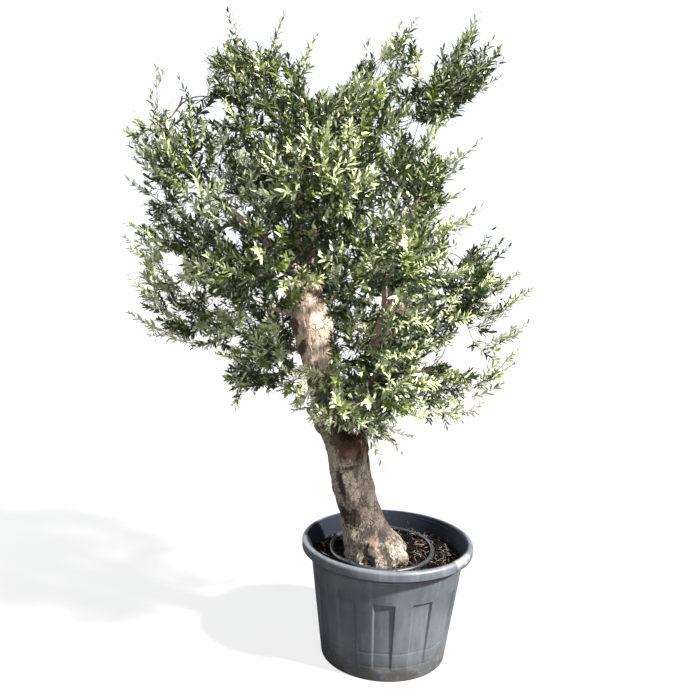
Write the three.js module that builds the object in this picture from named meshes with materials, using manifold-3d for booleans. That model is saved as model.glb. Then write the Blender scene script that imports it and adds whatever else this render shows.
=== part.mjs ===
// Olive tree in a round grower's pot. Millimetres, +Z up.
// The origin is the centre of the pot's flat underside, +X is the side that the trunk leans away from,
// and the tree is meant to be looked at from -Y.
import * as THREE from "three";
import { mergeVertices } from "three/addons/utils/BufferGeometryUtils.js";
import Module from "manifold-3d";

const wasm = await Module();
wasm.setup();

const clearance = 0.3; // gap kept between pieces that rest on each other
const skin = 0.5; // how far a piece is grown before it is cut out of its neighbour

// Pot: straight tapering wall, a hooked rim, two grooves near the foot and a ring of flat staves.
const potHeight = 446;
const rimRadius = 320; // outside of the rim's skirt
const rimLip = 296; // inside of the rim at its top
const rimRound = 12; // height over which the rim's top is rounded
const rimGap = 1; // draft of the rim's upright faces
const skirtHeight = 34;
const skirtWall = 4.5;
const collarRadius = 288; // wall just under the skirt
const footRadius = 234;
const footEdge = 4; // small chamfer round the underside
const potWall = 7;
const potFloor = 6;
const grooveHeights = [58, 112];
const grooveDepth = 2;
const grooveHalf = 4;
const staveCount = 12;
const staveFoot = 43; // the staves' recesses run from here, below both grooves,
const staveHead = 305; // to here, under the plain collar
const staveDepth = 4;
const staveSlope = 7; // height of a recess's sloping end
const recessHalfAngle = 8.1; // degrees, half of a recess
const stepAngle = 1.2; // degrees, the sloping side of a stave
const staveTurn = -93.4; // degrees, where the middle of one recess points

// Soil and the drip ring that lies on it.
const soilLevel = 380;
const ringTube = 8;
const ringSides = 5;
const ringRadius = 192;
const ringCentre = [-18, 44];
const ringOval = 1.14; // the ring is a little longer from front to back

// Trunk: from its flat cut on the soil to the fork at its neck.
const trunkFoot = [-40, -20];
const trunkNeck = [-175, -20, 862];
const trunkKnee = [-148, -20, 620]; // control point of the lean
const trunkRadius = 71;
const flareRadius = 54; // added at the soil
const flareFade = 95; // height over which the flare dies away
const neckSpread = 30; // added sideways where the trunk forks
const rootLobes = 5;
const lobeDepth = 0.14; // share of the flare that rises and falls with the lobes
const lobeTurn = 0.6; // radians
const trunkSides = 16;
const trunkRows = 11;
const crestFrom = 0.9; // share of the trunk's length from which its top is rounded in
const crestTo = 1.08;
const spreadFrom = 0.78; // share of its length from which the neck spreads

// Crown: masses of leaves stand round this upright axis. at is a mass's bearing (degrees from +X, 90 is
// the back), height and reach, and rise is the slope of its long axis, in degrees. half is its half size
// outwards, sideways and the third way, and tip draws its outer end out to the furthest shoots.
const crownAxis = [-260, 0];
const crown = {
  TopMiddle: { at: [0, 1975, 60], rise: 80, half: [225, 150, 150], tip: 0.25 },
  TopLeft: { at: [172, 2020, 290], rise: 75, half: [200, 140, 165], tip: 0.3 },
  TopRight: { at: [2, 2055, 370], rise: 56, half: [195, 140, 135], tip: 0.62 },
  TopCrest: { at: [20, 2155, 288], rise: 75, half: [136, 95, 90], tip: 0.45 },
  TopFront: { at: [262, 1930, 262], rise: 60, half: [175, 185, 125], tip: 0.2 },
  TopBack: { at: [96, 1890, 290], rise: 50, half: [175, 175, 135], tip: 0.2 },
  HighLeft: { at: [184, 1775, 500], rise: 58, half: [180, 90, 160], tip: 0.1 },
  FarLeft: { at: [178, 1915, 632], rise: 78, half: [130, 50, 75], tip: 0.7 },
  TallLeft: { at: [177, 1995, 525], rise: 82, half: [150, 50, 75], tip: 0.35 },
  HighFront: { at: [268, 1700, 400], rise: 35, half: [160, 175, 140], tip: 0.1 },
  HighRight: { at: [347, 1778, 342], rise: 35, half: [155, 145, 160], tip: 0.2 },
  HighBackLeft: { at: [132, 1750, 440], rise: 35, half: [165, 140, 125], tip: 0.15 },
  HighBackRight: { at: [48, 1770, 450], rise: 35, half: [160, 145, 125], tip: 0.2 },
  Heart: { at: [150, 1800, 120], rise: 80, half: [170, 150, 140], tip: 0 },
  MidLeft: { at: [184, 1495, 495], rise: 8, half: [180, 85, 145], tip: 0.12 },
  MidFrontLeft: { at: [240, 1500, 420], rise: 15, half: [150, 165, 175], tip: 0.1 },
  MidFrontRight: { at: [300, 1470, 430], rise: 15, half: [150, 180, 185], tip: 0.1 },
  MidRight: { at: [358, 1390, 530], rise: 12, half: [165, 155, 200], tip: 0.2 },
  MidBackRight: { at: [62, 1450, 470], rise: 15, half: [150, 175, 165], tip: 0.1 },
  MidBack: { at: [100, 1500, 430], rise: 25, half: [140, 120, 140], tip: 0.1 },
  MidBackLeft: { at: [138, 1440, 470], rise: 15, half: [160, 150, 150], tip: 0.15 },
  LowLeft: { at: [183, 1280, 430], rise: 2, half: [205, 95, 125], tip: 0.2 },
  LowFrontLeft: { at: [210, 1070, 230], rise: -20, half: [138, 95, 105], tip: 0.15 },
  LowFrontRight: { at: [308, 1090, 370], rise: 0, half: [140, 165, 150], tip: 0.1 },
  LowRight: { at: [354, 1090, 500], rise: 8, half: [180, 130, 140], tip: 0.12 },
  LowBackRight: { at: [55, 1160, 370], rise: 5, half: [160, 160, 115], tip: 0.15 },
  LowBackLeft: { at: [128, 1150, 350], rise: 0, half: [165, 145, 110], tip: 0.15 },
  Sprig: { at: [333, 870, 275], rise: -70, half: [90, 40, 38], tip: 0.3 },
};
const massDetail = 2; // subdivision of a mass
const smallMass = 140; // a mass with a half length up to this is subdivided once less
const massUneven = 0.21; // depth of a mass's hollows and swellings
const massRipples = 5;
const tipSharpness = 8; // power that narrows the drawn-out tip

// Boughs: each leaves its parent limb at a share of that limb's length and grows to a mass.
const boughs = {
  UpperLeft: { on: "MainLimb", at: 0.97, to: "HighLeft", base: 27, tip: 13 },
  Leader: { on: "MainLimb", at: 0.99, to: "Heart", base: 34, tip: 20 },
  UpperRight: { on: "MainLimb", at: 0.95, to: "TopMiddle", base: 27, tip: 14 },
  UpperFront: { on: "MainLimb", at: 0.93, to: "HighFront", base: 20, tip: 11 },
  BackLeft: { on: "MainLimb", at: 0.8, to: "MidBackLeft", base: 26, tip: 14 },
  Back: { on: "MainLimb", at: 0.9, to: "MidBack", base: 19, tip: 11 },
  FrontLeft: { on: "MainLimb", at: 0.86, to: "MidFrontLeft", base: 16, tip: 9 },
  OuterLeft: { on: "MainLimb", at: 0.76, to: "LowLeft", base: 12, tip: 8 },
  LowLeft: { on: "MainLimb", at: 0.45, to: "LowFrontLeft", base: 12, tip: 8 },
  LowBackLeft: { on: "MainLimb", at: 0.4, to: "LowBackLeft", base: 20, tip: 11 },
  RightHigh: { on: "RightLimb", at: 0.98, to: "HighRight", base: 25, tip: 13 },
  RightHighBack: { on: "RightLimb", at: 0.94, to: "HighBackRight", base: 20, tip: 11 },
  RightBack: { on: "RightLimb", at: 0.86, to: "MidBackRight", base: 24, tip: 13 },
  RightOuter: { on: "RightLimb", at: 0.8, to: "MidRight", base: 21, tip: 12 },
  RightFront: { on: "RightLimb", at: 0.66, to: "MidFrontRight", base: 18, tip: 10 },
  LowBackRight: { on: "RightLimb", at: 0.5, to: "LowBackRight", base: 17, tip: 10 },
  LowRight: { on: "RightLimb", at: 0.38, to: "LowRight", base: 17, tip: 9 },
  LowFront: { on: "RightLimb", at: 0.22, to: "LowFrontRight", base: 15, tip: 9 },
  Sprig: { on: "RightLimb", at: 0.16, to: "Sprig", base: 8, tip: 5 },
};
const boughSides = 5;
const boughStep = 75; // length of one straight stretch of a bough
const boughBend = 0.33; // share of its span over which a bough keeps its first and last direction

const colours = {
  pot: [0x34383d, 0.5],
  soil: [0x2c211a, 0.95],
  ring: [0x17191c, 0.45],
  bark: [0x8d8071, 0.9],
  foliage: [0x5f6f45, 0.8],
};

const vec = (x, y, z) => new THREE.Vector3(x, y, z);
const smooth = (low, high, x) => THREE.MathUtils.smoothstep(x, low, high);

// Small repeatable random numbers, so that each mass keeps its own shape.
function randomFrom(seed) {
  let state = seed >>> 0;
  return () => {
    state = (state + 0x6d2b79f5) >>> 0;
    let t = state;
    t = Math.imul(t ^ (t >>> 15), t | 1);
    t ^= t + Math.imul(t ^ (t >>> 7), t | 61);
    return ((t ^ (t >>> 14)) >>> 0) / 4294967296;
  };
}

// Moves every vertex of a geometry, then joins the vertices that meet.
function reshape(geometry, move) {
  const place = geometry.getAttribute("position");
  const point = new THREE.Vector3();
  for (let i = 0; i < place.count; i += 1) {
    point.fromBufferAttribute(place, i);
    move(point);
    place.setXYZ(i, point.x, point.y, point.z);
  }
  geometry.deleteAttribute("normal");
  geometry.deleteAttribute("uv");
  return mergeVertices(geometry, 1e-3);
}

function toSolid(geometry) {
  const joined = geometry.index ? geometry : mergeVertices(geometry, 1e-3);
  return new wasm.Manifold(
    new wasm.Mesh({
      numProp: 3,
      vertProperties: joined.getAttribute("position").array,
      triVerts: new Uint32Array(joined.index.array),
    }),
  );
}

function toGeometry(solid) {
  const { vertProperties, triVerts, numProp } = solid.getMesh();
  const places = new Float32Array((vertProperties.length / numProp) * 3);
  for (let i = 0; i < places.length / 3; i += 1) {
    places.set(vertProperties.subarray(i * numProp, i * numProp + 3), i * 3);
  }
  const geometry = new THREE.BufferGeometry();
  geometry.setAttribute("position", new THREE.BufferAttribute(places, 3));
  geometry.setIndex(new THREE.BufferAttribute(new Uint32Array(triVerts), 1));
  return geometry;
}

// The solid without its cutters. Offcuts are dropped, so that one body is left.
function carve(solid, cutters) {
  let left = solid;
  for (const cutter of cutters) {
    left = left.subtract(cutter);
  }
  const pieces = left.decompose().sort((a, b) => b.volume() - a.volume());
  return pieces[0];
}

function mesh(name, geometry, look) {
  const [colour, roughness] = colours[look];
  const material = new THREE.MeshStandardMaterial({ color: colour, roughness, metalness: 0 });
  const made = new THREE.Mesh(geometry, material);
  made.name = name;
  return made;
}

// ---- Pot, soil and drip ring ----

const wallRadius = (z) => footRadius + ((collarRadius - footRadius) * z) / (potHeight - skirtHeight);

// Angles round the pot: four to each stave, on the edges where its sides slope.
function potAngles() {
  const pitch = 360 / staveCount;
  const inPitch = [
    -recessHalfAngle,
    recessHalfAngle,
    recessHalfAngle + stepAngle,
    pitch - recessHalfAngle - stepAngle,
  ];
  const angles = [];
  for (let stave = 0; stave < staveCount; stave += 1) {
    for (const angle of inPitch) {
      angles.push(THREE.MathUtils.degToRad(staveTurn + stave * pitch + angle));
    }
  }
  return angles;
}

// A lathe whose columns stand at the pot's own angles, turned upright.
function potLathe(profile, radiusOf = (radius) => radius) {
  const angles = potAngles();
  const outline = profile.map(([radius, z]) => new THREE.Vector2(radius, z));
  const lathe = new THREE.LatheGeometry(outline, angles.length);
  return reshape(lathe, (point) => {
    const radius = Math.hypot(point.x, point.z);
    const turn = Math.atan2(point.x, point.z) / (2 * Math.PI);
    const column = (Math.round(turn * angles.length) + angles.length) % angles.length;
    const own = radiusOf(radius, point.y, column);
    point.set(own * Math.cos(angles[column]), own * Math.sin(angles[column]), point.y);
  });
}

function potProfile() {
  const skirtFoot = potHeight - skirtHeight;
  const profile = [
    [0, 0],
    [footRadius - footEdge, 0],
    [wallRadius(footEdge), footEdge],
  ];
  for (const z of [staveFoot, staveFoot + staveSlope]) {
    profile.push([wallRadius(z), z]);
  }
  for (const z of grooveHeights) {
    profile.push([wallRadius(z - grooveHalf), z - grooveHalf]);
    profile.push([wallRadius(z) - grooveDepth, z]);
    profile.push([wallRadius(z + grooveHalf), z + grooveHalf]);
  }
  for (const z of [staveHead - staveSlope, staveHead]) {
    profile.push([wallRadius(z), z]);
  }
  const shoulder = potHeight - rimRound;
  profile.push(
    [collarRadius, skirtFoot],
    [collarRadius + rimGap, shoulder],
    [rimRadius - skirtWall - rimGap, shoulder],
    [rimRadius - skirtWall - 2 * rimGap, skirtFoot],
    [rimRadius - 2 * rimGap, skirtFoot],
    [rimRadius, shoulder],
    [rimRadius - rimRound * 0.4, potHeight - rimRound * 0.25],
    [rimRadius - rimRound, potHeight],
    [rimLip, potHeight - rimRound * 0.25],
    [rimLip - rimRound * 0.35, shoulder],
    [wallRadius(skirtFoot) - potWall, skirtFoot],
    [wallRadius(potFloor) - potWall, potFloor],
    [0, potFloor],
  );
  return profile;
}

function pot() {
  const inRecess = (column) => column % 4 < 2;
  const low = staveFoot + staveSlope;
  const high = staveHead - staveSlope;
  const outside = (radius, z) => radius > wallRadius(z) - potWall / 2;
  const geometry = potLathe(potProfile(), (radius, z, column) => {
    const sunk = z >= low - 1 && z <= high + 1 && outside(radius, z) && inRecess(column);
    return sunk ? radius - staveDepth : radius;
  });
  return mesh("Pot", geometry, "pot");
}

function soil() {
  const floor = potFloor + clearance;
  const inner = (z) => wallRadius(z) - potWall - 1.3 * clearance;
  const geometry = potLathe([
    [0, floor],
    [inner(floor), floor],
    [inner(soilLevel), soilLevel],
    [0, soilLevel],
  ]);
  return mesh("Soil", geometry, "soil");
}

function dripRing() {
  const ring = mesh("DripRing", new THREE.TorusGeometry(ringRadius, ringTube, ringSides, 28), "ring");
  const lowest = ringTube * Math.cos(Math.PI / (2 * ringSides));
  ring.scale.set(1, ringOval, 1);
  ring.position.set(ringCentre[0], ringCentre[1], soilLevel + clearance + lowest);
  return ring;
}

// ---- Trunk and limbs ----

const trunkAxis = new THREE.QuadraticBezierCurve3(
  vec(...trunkFoot, soilLevel + clearance),
  vec(...trunkKnee),
  vec(...trunkNeck),
);

// The two limbs that leave the neck. Each has its axis, its radius along it and its number of sides.
const mainLimb = {
  axis: new THREE.CubicBezierCurve3(
    vec(-196, -20, 800),
    vec(-238, -22, 900),
    vec(-285, -20, 1150),
    vec(-345, -10, 1392),
  ),
  radius: (t) => 62 - 8 * t + 20 * Math.exp(-(((t - 0.74) / 0.12) ** 2)),
  sides: 10,
};
const rightLimb = {
  axis: new THREE.CubicBezierCurve3(
    vec(-135, -10, 800),
    vec(-72, 5, 960),
    vec(-95, 30, 1150),
    vec(5, 45, 1390),
  ),
  radius: (t) => 52 - 24 * t,
  sides: 8,
};
const structure = { MainLimb: mainLimb, RightLimb: rightLimb };

// A closed tapering tube along an axis, grown by a margin on its side and at both ends.
function limbGeometry(limb, margin = 0) {
  const steps = Math.max(3, Math.round(limb.axis.getLength() / boughStep));
  const { tangents, normals, binormals } = limb.axis.computeFrenetFrames(steps, false);
  const tube = new THREE.CylinderGeometry(1, 1, 1, limb.sides, steps);
  return reshape(tube, (point) => {
    const t = point.y + 0.5;
    const row = Math.round(t * steps);
    const radius = limb.radius(t) + margin;
    const side = normals[row].clone().multiplyScalar(point.x * radius);
    side.addScaledVector(binormals[row], -point.z * radius);
    const end = row === 0 ? -margin : row === steps ? margin : 0;
    point.copy(limb.axis.getPointAt(t)).add(side).addScaledVector(tangents[row], end);
  });
}

// The trunk has level sections, so that its foot is a flat cut. Its root flare is lobed, and its neck
// spreads sideways under the two limbs.
function trunkGeometry(margin = 0) {
  const tube = new THREE.CylinderGeometry(1, 1, 1, trunkSides, trunkRows);
  return reshape(tube, (point) => {
    const t = point.y + 0.5;
    const centre = trunkAxis.getPoint(t);
    const height = centre.z - soilLevel;
    const around = Math.atan2(point.z, point.x);
    const flare = flareRadius * Math.exp(-height / flareFade);
    const lobe = 1 + lobeDepth * (Math.cos(rootLobes * around + lobeTurn) + 0.4 * Math.sin(3 * around));
    const crest = Math.sqrt(1 - smooth(crestFrom, crestTo, t));
    const radius = (trunkRadius + flare * lobe + margin) * crest;
    const spread = neckSpread * smooth(spreadFrom, 1, t) * crest;
    const end = t === 0 ? -margin : t === 1 ? margin : 0;
    point.set(
      centre.x + point.x * (radius + spread),
      centre.y - point.z * radius,
      centre.z + end,
    );
  });
}

// ---- Masses of leaves ----

// Centre and three half axes of a mass: outwards, sideways and the third way.
function massFrame(plan) {
  const [turn, height, reach] = plan.at;
  const [halfLong, halfWide, halfDeep] = plan.half;
  const bearing = THREE.MathUtils.degToRad(turn);
  const rise = THREE.MathUtils.degToRad(plan.rise);
  const out = vec(Math.cos(bearing), Math.sin(bearing), 0);
  const centre = vec(crownAxis[0], crownAxis[1], height).addScaledVector(out, reach);
  const long = out.clone().multiplyScalar(Math.cos(rise)).setZ(Math.sin(rise));
  const wide = vec(-Math.sin(bearing), Math.cos(bearing), 0);
  const deep = new THREE.Vector3().crossVectors(long, wide);
  return {
    centre,
    long: long.multiplyScalar(halfLong),
    wide: wide.multiplyScalar(halfWide),
    deep: deep.multiplyScalar(halfDeep),
  };
}

const frames = Object.fromEntries(Object.entries(crown).map(([name, plan]) => [name, massFrame(plan)]));

// How far a mass reaches along a line through its centre, before its neighbours limit it.
function reachAlong(frame, line) {
  const share = (axis) => (line.dot(axis) / axis.lengthSq()) ** 2;
  return 1 / Math.sqrt(share(frame.long) + share(frame.wide) + share(frame.deep));
}

// The planes that part a mass from each of the others, between their centres.
function wallsOf(name) {
  const own = frames[name];
  const walls = [];
  for (const [other, frame] of Object.entries(frames)) {
    if (other === name) {
      continue;
    }
    const line = frame.centre.clone().sub(own.centre);
    const apart = line.length();
    line.normalize();
    const mine = reachAlong(own, line);
    const share = mine / (mine + reachAlong(frame, line));
    walls.push({ line, distance: apart * share - clearance * 0.65 });
  }
  return walls;
}

function massGeometry(name, order, margin = 0) {
  const frame = frames[name];
  const walls = wallsOf(name);
  const random = randomFrom(101 + order * 7);
  const ripples = Array.from({ length: massRipples }, () => ({
    along: vec(random() - 0.5, random() - 0.5, random() - 0.5).setLength(2.2 + 3 * random()),
    phase: 2 * Math.PI * random(),
  }));
  const detail = crown[name].half[0] <= smallMass ? massDetail - 1 : massDetail;
  const ball = new THREE.IcosahedronGeometry(1, detail);
  return reshape(ball, (point) => {
    const ripple = ripples.reduce((sum, { along, phase }) => sum + Math.sin(along.dot(point) + phase), 0);
    const tip = crown[name].tip * Math.max(0, point.x) ** tipSharpness;
    const swell = 1 + massUneven * (ripple / Math.sqrt(massRipples)) + tip;
    const place = frame.long.clone().multiplyScalar(point.x * swell);
    place.addScaledVector(frame.wide, point.y * swell).addScaledVector(frame.deep, point.z * swell);
    let length = place.length();
    place.normalize();
    for (const { line, distance } of walls) {
      const towards = place.dot(line);
      if (towards > 0.01) {
        length = Math.min(length, distance / towards);
      }
    }
    point.copy(frame.centre).addScaledVector(place, length + margin);
  });
}

// ---- Boughs ----

// A bough leaves its parent's axis in between the parent's own direction and the mass's, and comes
// into the mass along the mass's long axis.
function boughLimb({ on, at, to, base, tip }) {
  const parent = structure[on].axis;
  const start = parent.getPointAt(at);
  const end = frames[to].centre.clone();
  const span = start.distanceTo(end);
  const leave = end.clone().sub(start).normalize().add(parent.getTangentAt(at)).normalize();
  const arrive = frames[to].long.clone().normalize().add(end.clone().sub(start).normalize()).normalize();
  return {
    axis: new THREE.CubicBezierCurve3(
      start,
      start.clone().addScaledVector(leave, span * boughBend),
      end.clone().addScaledVector(arrive, -span * boughBend),
      end,
    ),
    radius: (t) => base + (tip - base) * t,
    sides: boughSides,
  };
}

// ---- Assembly ----

const tree = new THREE.Group();
const plant = new THREE.Group();

const container = new THREE.Group();
container.add(pot(), soil(), dripRing());
tree.add(container);

const trunk = toSolid(trunkGeometry());
const trunkCutter = toSolid(trunkGeometry(skin));
plant.add(mesh("Trunk", toGeometry(trunk), "bark"));

const limbCutters = [trunkCutter];
for (const [name, limb] of Object.entries(structure)) {
  const solid = carve(toSolid(limbGeometry(limb)), limbCutters);
  plant.add(mesh(name, toGeometry(solid), "bark"));
  limbCutters.push(toSolid(limbGeometry(limb, skin)));
}

const massCutters = [];
for (const [order, name] of Object.keys(crown).entries()) {
  const solid = carve(toSolid(massGeometry(name, order)), limbCutters);
  plant.add(mesh(`Foliage${name}`, toGeometry(solid), "foliage"));
  massCutters.push(toSolid(massGeometry(name, order, skin)));
}

const boughCutters = [];
for (const [name, plan] of Object.entries(boughs)) {
  const limb = boughLimb(plan);
  const solid = carve(toSolid(limbGeometry(limb)), [...limbCutters, ...massCutters, ...boughCutters]);
  plant.add(mesh(`Bough${name}`, toGeometry(solid), "bark"));
  boughCutters.push(toSolid(limbGeometry(limb, skin)));
}

tree.add(plant);

export default tree;
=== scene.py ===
import itertools
import math
import random

import bmesh
import bpy
import numpy
from mathutils import Matrix, Vector, noise
from mathutils.bvhtree import BVHTree


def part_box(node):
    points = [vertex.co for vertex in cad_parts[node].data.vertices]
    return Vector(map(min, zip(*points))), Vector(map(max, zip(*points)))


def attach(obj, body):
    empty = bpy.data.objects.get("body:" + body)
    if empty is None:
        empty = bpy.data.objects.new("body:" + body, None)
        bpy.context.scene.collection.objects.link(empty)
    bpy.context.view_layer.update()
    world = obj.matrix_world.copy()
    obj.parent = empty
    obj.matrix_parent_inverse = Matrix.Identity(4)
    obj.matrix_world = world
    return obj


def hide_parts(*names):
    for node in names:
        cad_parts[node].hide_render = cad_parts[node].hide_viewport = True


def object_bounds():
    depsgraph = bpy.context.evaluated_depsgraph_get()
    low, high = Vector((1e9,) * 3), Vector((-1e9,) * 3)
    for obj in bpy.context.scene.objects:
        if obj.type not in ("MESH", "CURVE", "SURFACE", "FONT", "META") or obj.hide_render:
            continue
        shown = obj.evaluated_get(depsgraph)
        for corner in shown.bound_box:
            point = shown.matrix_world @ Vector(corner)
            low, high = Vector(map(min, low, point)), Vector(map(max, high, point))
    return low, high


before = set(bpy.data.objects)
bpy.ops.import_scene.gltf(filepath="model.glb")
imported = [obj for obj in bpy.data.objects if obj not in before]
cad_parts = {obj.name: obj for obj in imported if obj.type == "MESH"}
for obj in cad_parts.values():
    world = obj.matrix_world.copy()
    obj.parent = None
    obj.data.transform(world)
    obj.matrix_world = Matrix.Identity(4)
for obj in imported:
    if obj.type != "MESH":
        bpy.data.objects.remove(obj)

scene = bpy.context.scene
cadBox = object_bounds()        # the CAD model's box, before any piece is swapped
upAxis = (0, 0, 1)
weld = 0.00005        # points closer than this become one


def linkNew(name, data):        # a new object in the scene
    piece = bpy.data.objects.new(name, data)
    scene.collection.objects.link(piece)
    return piece


def finishMesh(work, mesh, smooth=True):
    work.to_mesh(mesh)
    work.free()
    for polygon in mesh.polygons:
        polygon.use_smooth = smooth


def bmeshObject(name, work, smooth=True):
    mesh = bpy.data.meshes.new(name)
    bmesh.ops.recalc_face_normals(work, faces=work.faces)
    finishMesh(work, mesh, smooth)
    return linkNew(name, mesh)


def settle(piece, material, slot, *nodes):        # every piece rides and has a finish
    piece.data.materials.append(material)
    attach(piece, "root")
    if nodes:
        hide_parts(*nodes)


def at(x, z):        # a point or a way in the X-Z plane
    return Vector((x, 0, z))


def arcPoints(centre, radius, start, end, steps):        # angles in degrees
    angles = [math.radians(start + (end - start) * step / steps) for step in range(steps + 1)]
    return [at(centre[0] + radius * math.cos(angle), centre[1] + radius * math.sin(angle))
            for angle in angles]


def addProfile(work, points):        # a chain of edges through the points
    verts = [work.verts.new(point) for point in points]
    for pair in zip(verts, verts[1:]):
        work.edges.new(pair)


def spinRound(work, steps, angle=math.tau):
    bmesh.ops.spin(work, geom=work.verts[:] + work.edges[:], axis=upAxis, cent=(0, 0, 0), angle=angle,
                   steps=steps, use_merge=angle == math.tau)


def turnRound(work, degrees, axis="Z"):
    bmesh.ops.rotate(work, verts=work.verts, cent=(0, 0, 0),
                     matrix=Matrix.Rotation(math.radians(degrees), 3, axis))


def reachOf(node, low, high):        # widest radius of a CAD node between two heights
    return max(math.hypot(vertex.co.x, vertex.co.y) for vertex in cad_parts[node].data.vertices
               if low <= vertex.co.z <= high)


def feed(socket, value):        # a link from another socket, or a plain value
    if isinstance(value, bpy.types.NodeSocket):
        socket.id_data.links.new(value, socket)
    else:
        socket.default_value = value + (1,) if socket.type == "RGBA" else value


def setInputs(node, **values):
    for name, value in values.items():
        feed(node.inputs[name.replace("_", " ")], value)


def addNode(tree, kind, settings=None, **values):
    spot = len(tree.nodes)
    node = tree.nodes.new(kind)
    node.location = (spot % 8 * 190, spot // 8 * -330)        # eight to a row in the editor
    for name, value in (settings or {}).items():
        setattr(node, name, value)
    setInputs(node, **values)
    return node


def mapRange(tree, source, fromMin=0.0, fromMax=1.0, toMin=0.0, toMax=1.0, kind="LINEAR"):
    return addNode(tree, "ShaderNodeMapRange", {"interpolation_type": kind}, Value=source, From_Min=fromMin,
                   From_Max=fromMax, To_Min=toMin, To_Max=toMax).outputs["Result"]


studio = {
    "cameraPlace": (-0.169, -2.878, 1.566),
    "cameraPitch": 8.18,        # degrees below level
    "cameraRoll": 2.28,
    "lens": 41.14,
    "sensor": 36,
    "farthest": 200,        # that the camera sees
    "keyBearing": 62,        # degrees right of the camera's side
    "keyHeight": 42,        # degrees above level
    "keyDistance": 6,
    "keySoftness": 4.0,
    "keyPower": 16.4,
    "keyColour": (1.0, 0.96, 0.9),
    "discSize": 3.5,        # of the fill light and the back light
    "fillPlace": (0.5, -5.0, 2.6),
    "fillPower": 180,
    "fillColour": (1.0, 0.98, 0.94),
    "backPlace": (-3.2, 4.0, 2.4),        # keeps the shaded side readable
    "backPower": 190,
    "backColour": (0.94, 0.97, 1.0),
    "skyColour": (0.92, 0.96, 1.0),
    "skyStrength": 0.25,        # on the tree
    "skySeen": 1.2,        # as the camera sees it, past white
    "floorColour": (0.08, 0.08, 0.08),
    "floorRoughness": 0.9,
    "floorGlow": 0.78,        # keeps the floor pale without lighting the tree from below
    "floorSize": 60,
}


def makeCamera(values):
    pitch, roll = math.radians(values["cameraPitch"]), math.radians(values["cameraRoll"])
    across = Vector((1, 0, 0))
    forward = Vector((0, math.cos(pitch), -math.sin(pitch)))
    up = across.cross(forward)
    right = across * math.cos(roll) + up * math.sin(roll)
    lean = up * math.cos(roll) - across * math.sin(roll)
    data = bpy.data.cameras.new("camera")
    data.sensor_width = values["sensor"]
    data.lens = values["lens"]
    data.clip_end = values["farthest"]
    scene.camera = linkNew("camera", data)
    turn = Matrix((right, lean, -forward)).transposed().to_4x4()
    scene.camera.matrix_world = Matrix.Translation(values["cameraPlace"]) @ turn


def keyWay(values):        # towards the key light
    bearing, height = math.radians(values["keyBearing"]), math.radians(values["keyHeight"])
    level = math.cos(height)
    return Vector((math.sin(bearing) * level, -math.cos(bearing) * level, math.sin(height)))


def makeLight(name, kind, place, turn, power, colour):
    data = bpy.data.lights.new(name, kind)
    data.energy = power
    data.color = colour
    light = linkNew(name, data)
    light.location = place
    light.rotation_euler = turn.to_euler()
    return data


def makeDiscLight(name, values):
    place = Vector(values[name + "Place"])
    turn = ((cadBox[0] + cadBox[1]) / 2 - place).to_track_quat("-Z", "Y")
    data = makeLight(name + "Light", "AREA", place, turn, values[name + "Power"], values[name + "Colour"])
    data.shape = "DISK"
    data.size = values["discSize"]


def seenOnly(tree, unseen, seen):        # one strength for the camera, another for the light it gives
    path = addNode(tree, "ShaderNodeLightPath")
    return mapRange(tree, path.outputs["Is Camera Ray"], toMin=unseen, toMax=seen)


def makeStudio(values):
    makeCamera(values)
    way = keyWay(values)
    key = makeLight("keyLight", "SUN", way * values["keyDistance"], way.to_track_quat("Z", "Y"),
                    values["keyPower"], values["keyColour"])
    key.angle = math.radians(values["keySoftness"])
    makeDiscLight("fill", values)
    makeDiscLight("back", values)
    world = bpy.data.worlds.new("studio")
    world.use_nodes = True
    setInputs(world.node_tree.nodes["Background"], Color=values["skyColour"],
              Strength=seenOnly(world.node_tree, values["skyStrength"], values["skySeen"]))
    scene.world = world
    scene.view_settings.view_transform = "Standard"
    work = bmesh.new()
    bmesh.ops.create_grid(work, x_segments=4, y_segments=4, size=values["floorSize"])
    floor = bmeshObject("floor", work, smooth=False)
    paint = bpy.data.materials.new("floorPaint")
    paint.use_nodes = True
    setInputs(paint.node_tree.nodes["Principled BSDF"], Base_Color=values["floorColour"],
              Roughness=values["floorRoughness"], Emission_Color=(1, 1, 1),
              Emission_Strength=seenOnly(paint.node_tree, 0.0, values["floorGlow"]))
    floor.data.materials.append(paint)


makeStudio(studio)
print("studio ready")


def placeOn(tree):        # Object coordinates, from one node in each node tree
    node = tree.nodes.get("place") or addNode(tree, "ShaderNodeTexCoord", {"name": "place"})
    return node.outputs["Object"]


def noiseOn(tree, scale, detail=2.0, roughness=0.5, vector=None, **values):
    return addNode(tree, "ShaderNodeTexNoise", Vector=vector or placeOn(tree), Scale=scale, Detail=detail,
                   Roughness=roughness, **values).outputs["Fac"]


def mathOn(tree, operation, *terms, clamp=False):
    node = addNode(tree, "ShaderNodeMath", {"operation": operation, "use_clamp": clamp})
    for socket, term in zip(node.inputs, terms):
        feed(socket, term)
    return node.outputs[0]


def multiply(tree, first, second):
    return mathOn(tree, "MULTIPLY", first, second, clamp=True)


def vectorOn(tree, operation, *terms, output="Vector"):
    node = addNode(tree, "ShaderNodeVectorMath", {"operation": operation})
    for socket, term in zip(node.inputs, terms):
        feed(socket, term)
    return node.outputs[output]


def axesOf(tree, vector):
    return addNode(tree, "ShaderNodeSeparateXYZ", Vector=vector).outputs


def facingOf(tree):
    return addNode(tree, "ShaderNodeNewGeometry").outputs["Normal"]


def rampOn(tree, source, *stops):        # place and colour of each stop; a bare number is a grey
    ramp = addNode(tree, "ShaderNodeValToRGB", Fac=source)
    elements = ramp.color_ramp.elements
    while len(elements) < len(stops):
        elements.new(0.5)
    for element, (place, colour) in zip(elements, stops):
        element.position = place
        element.color = (colour if isinstance(colour, tuple) else (colour,) * 3) + (1,)
    return ramp.outputs["Color"]


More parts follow.
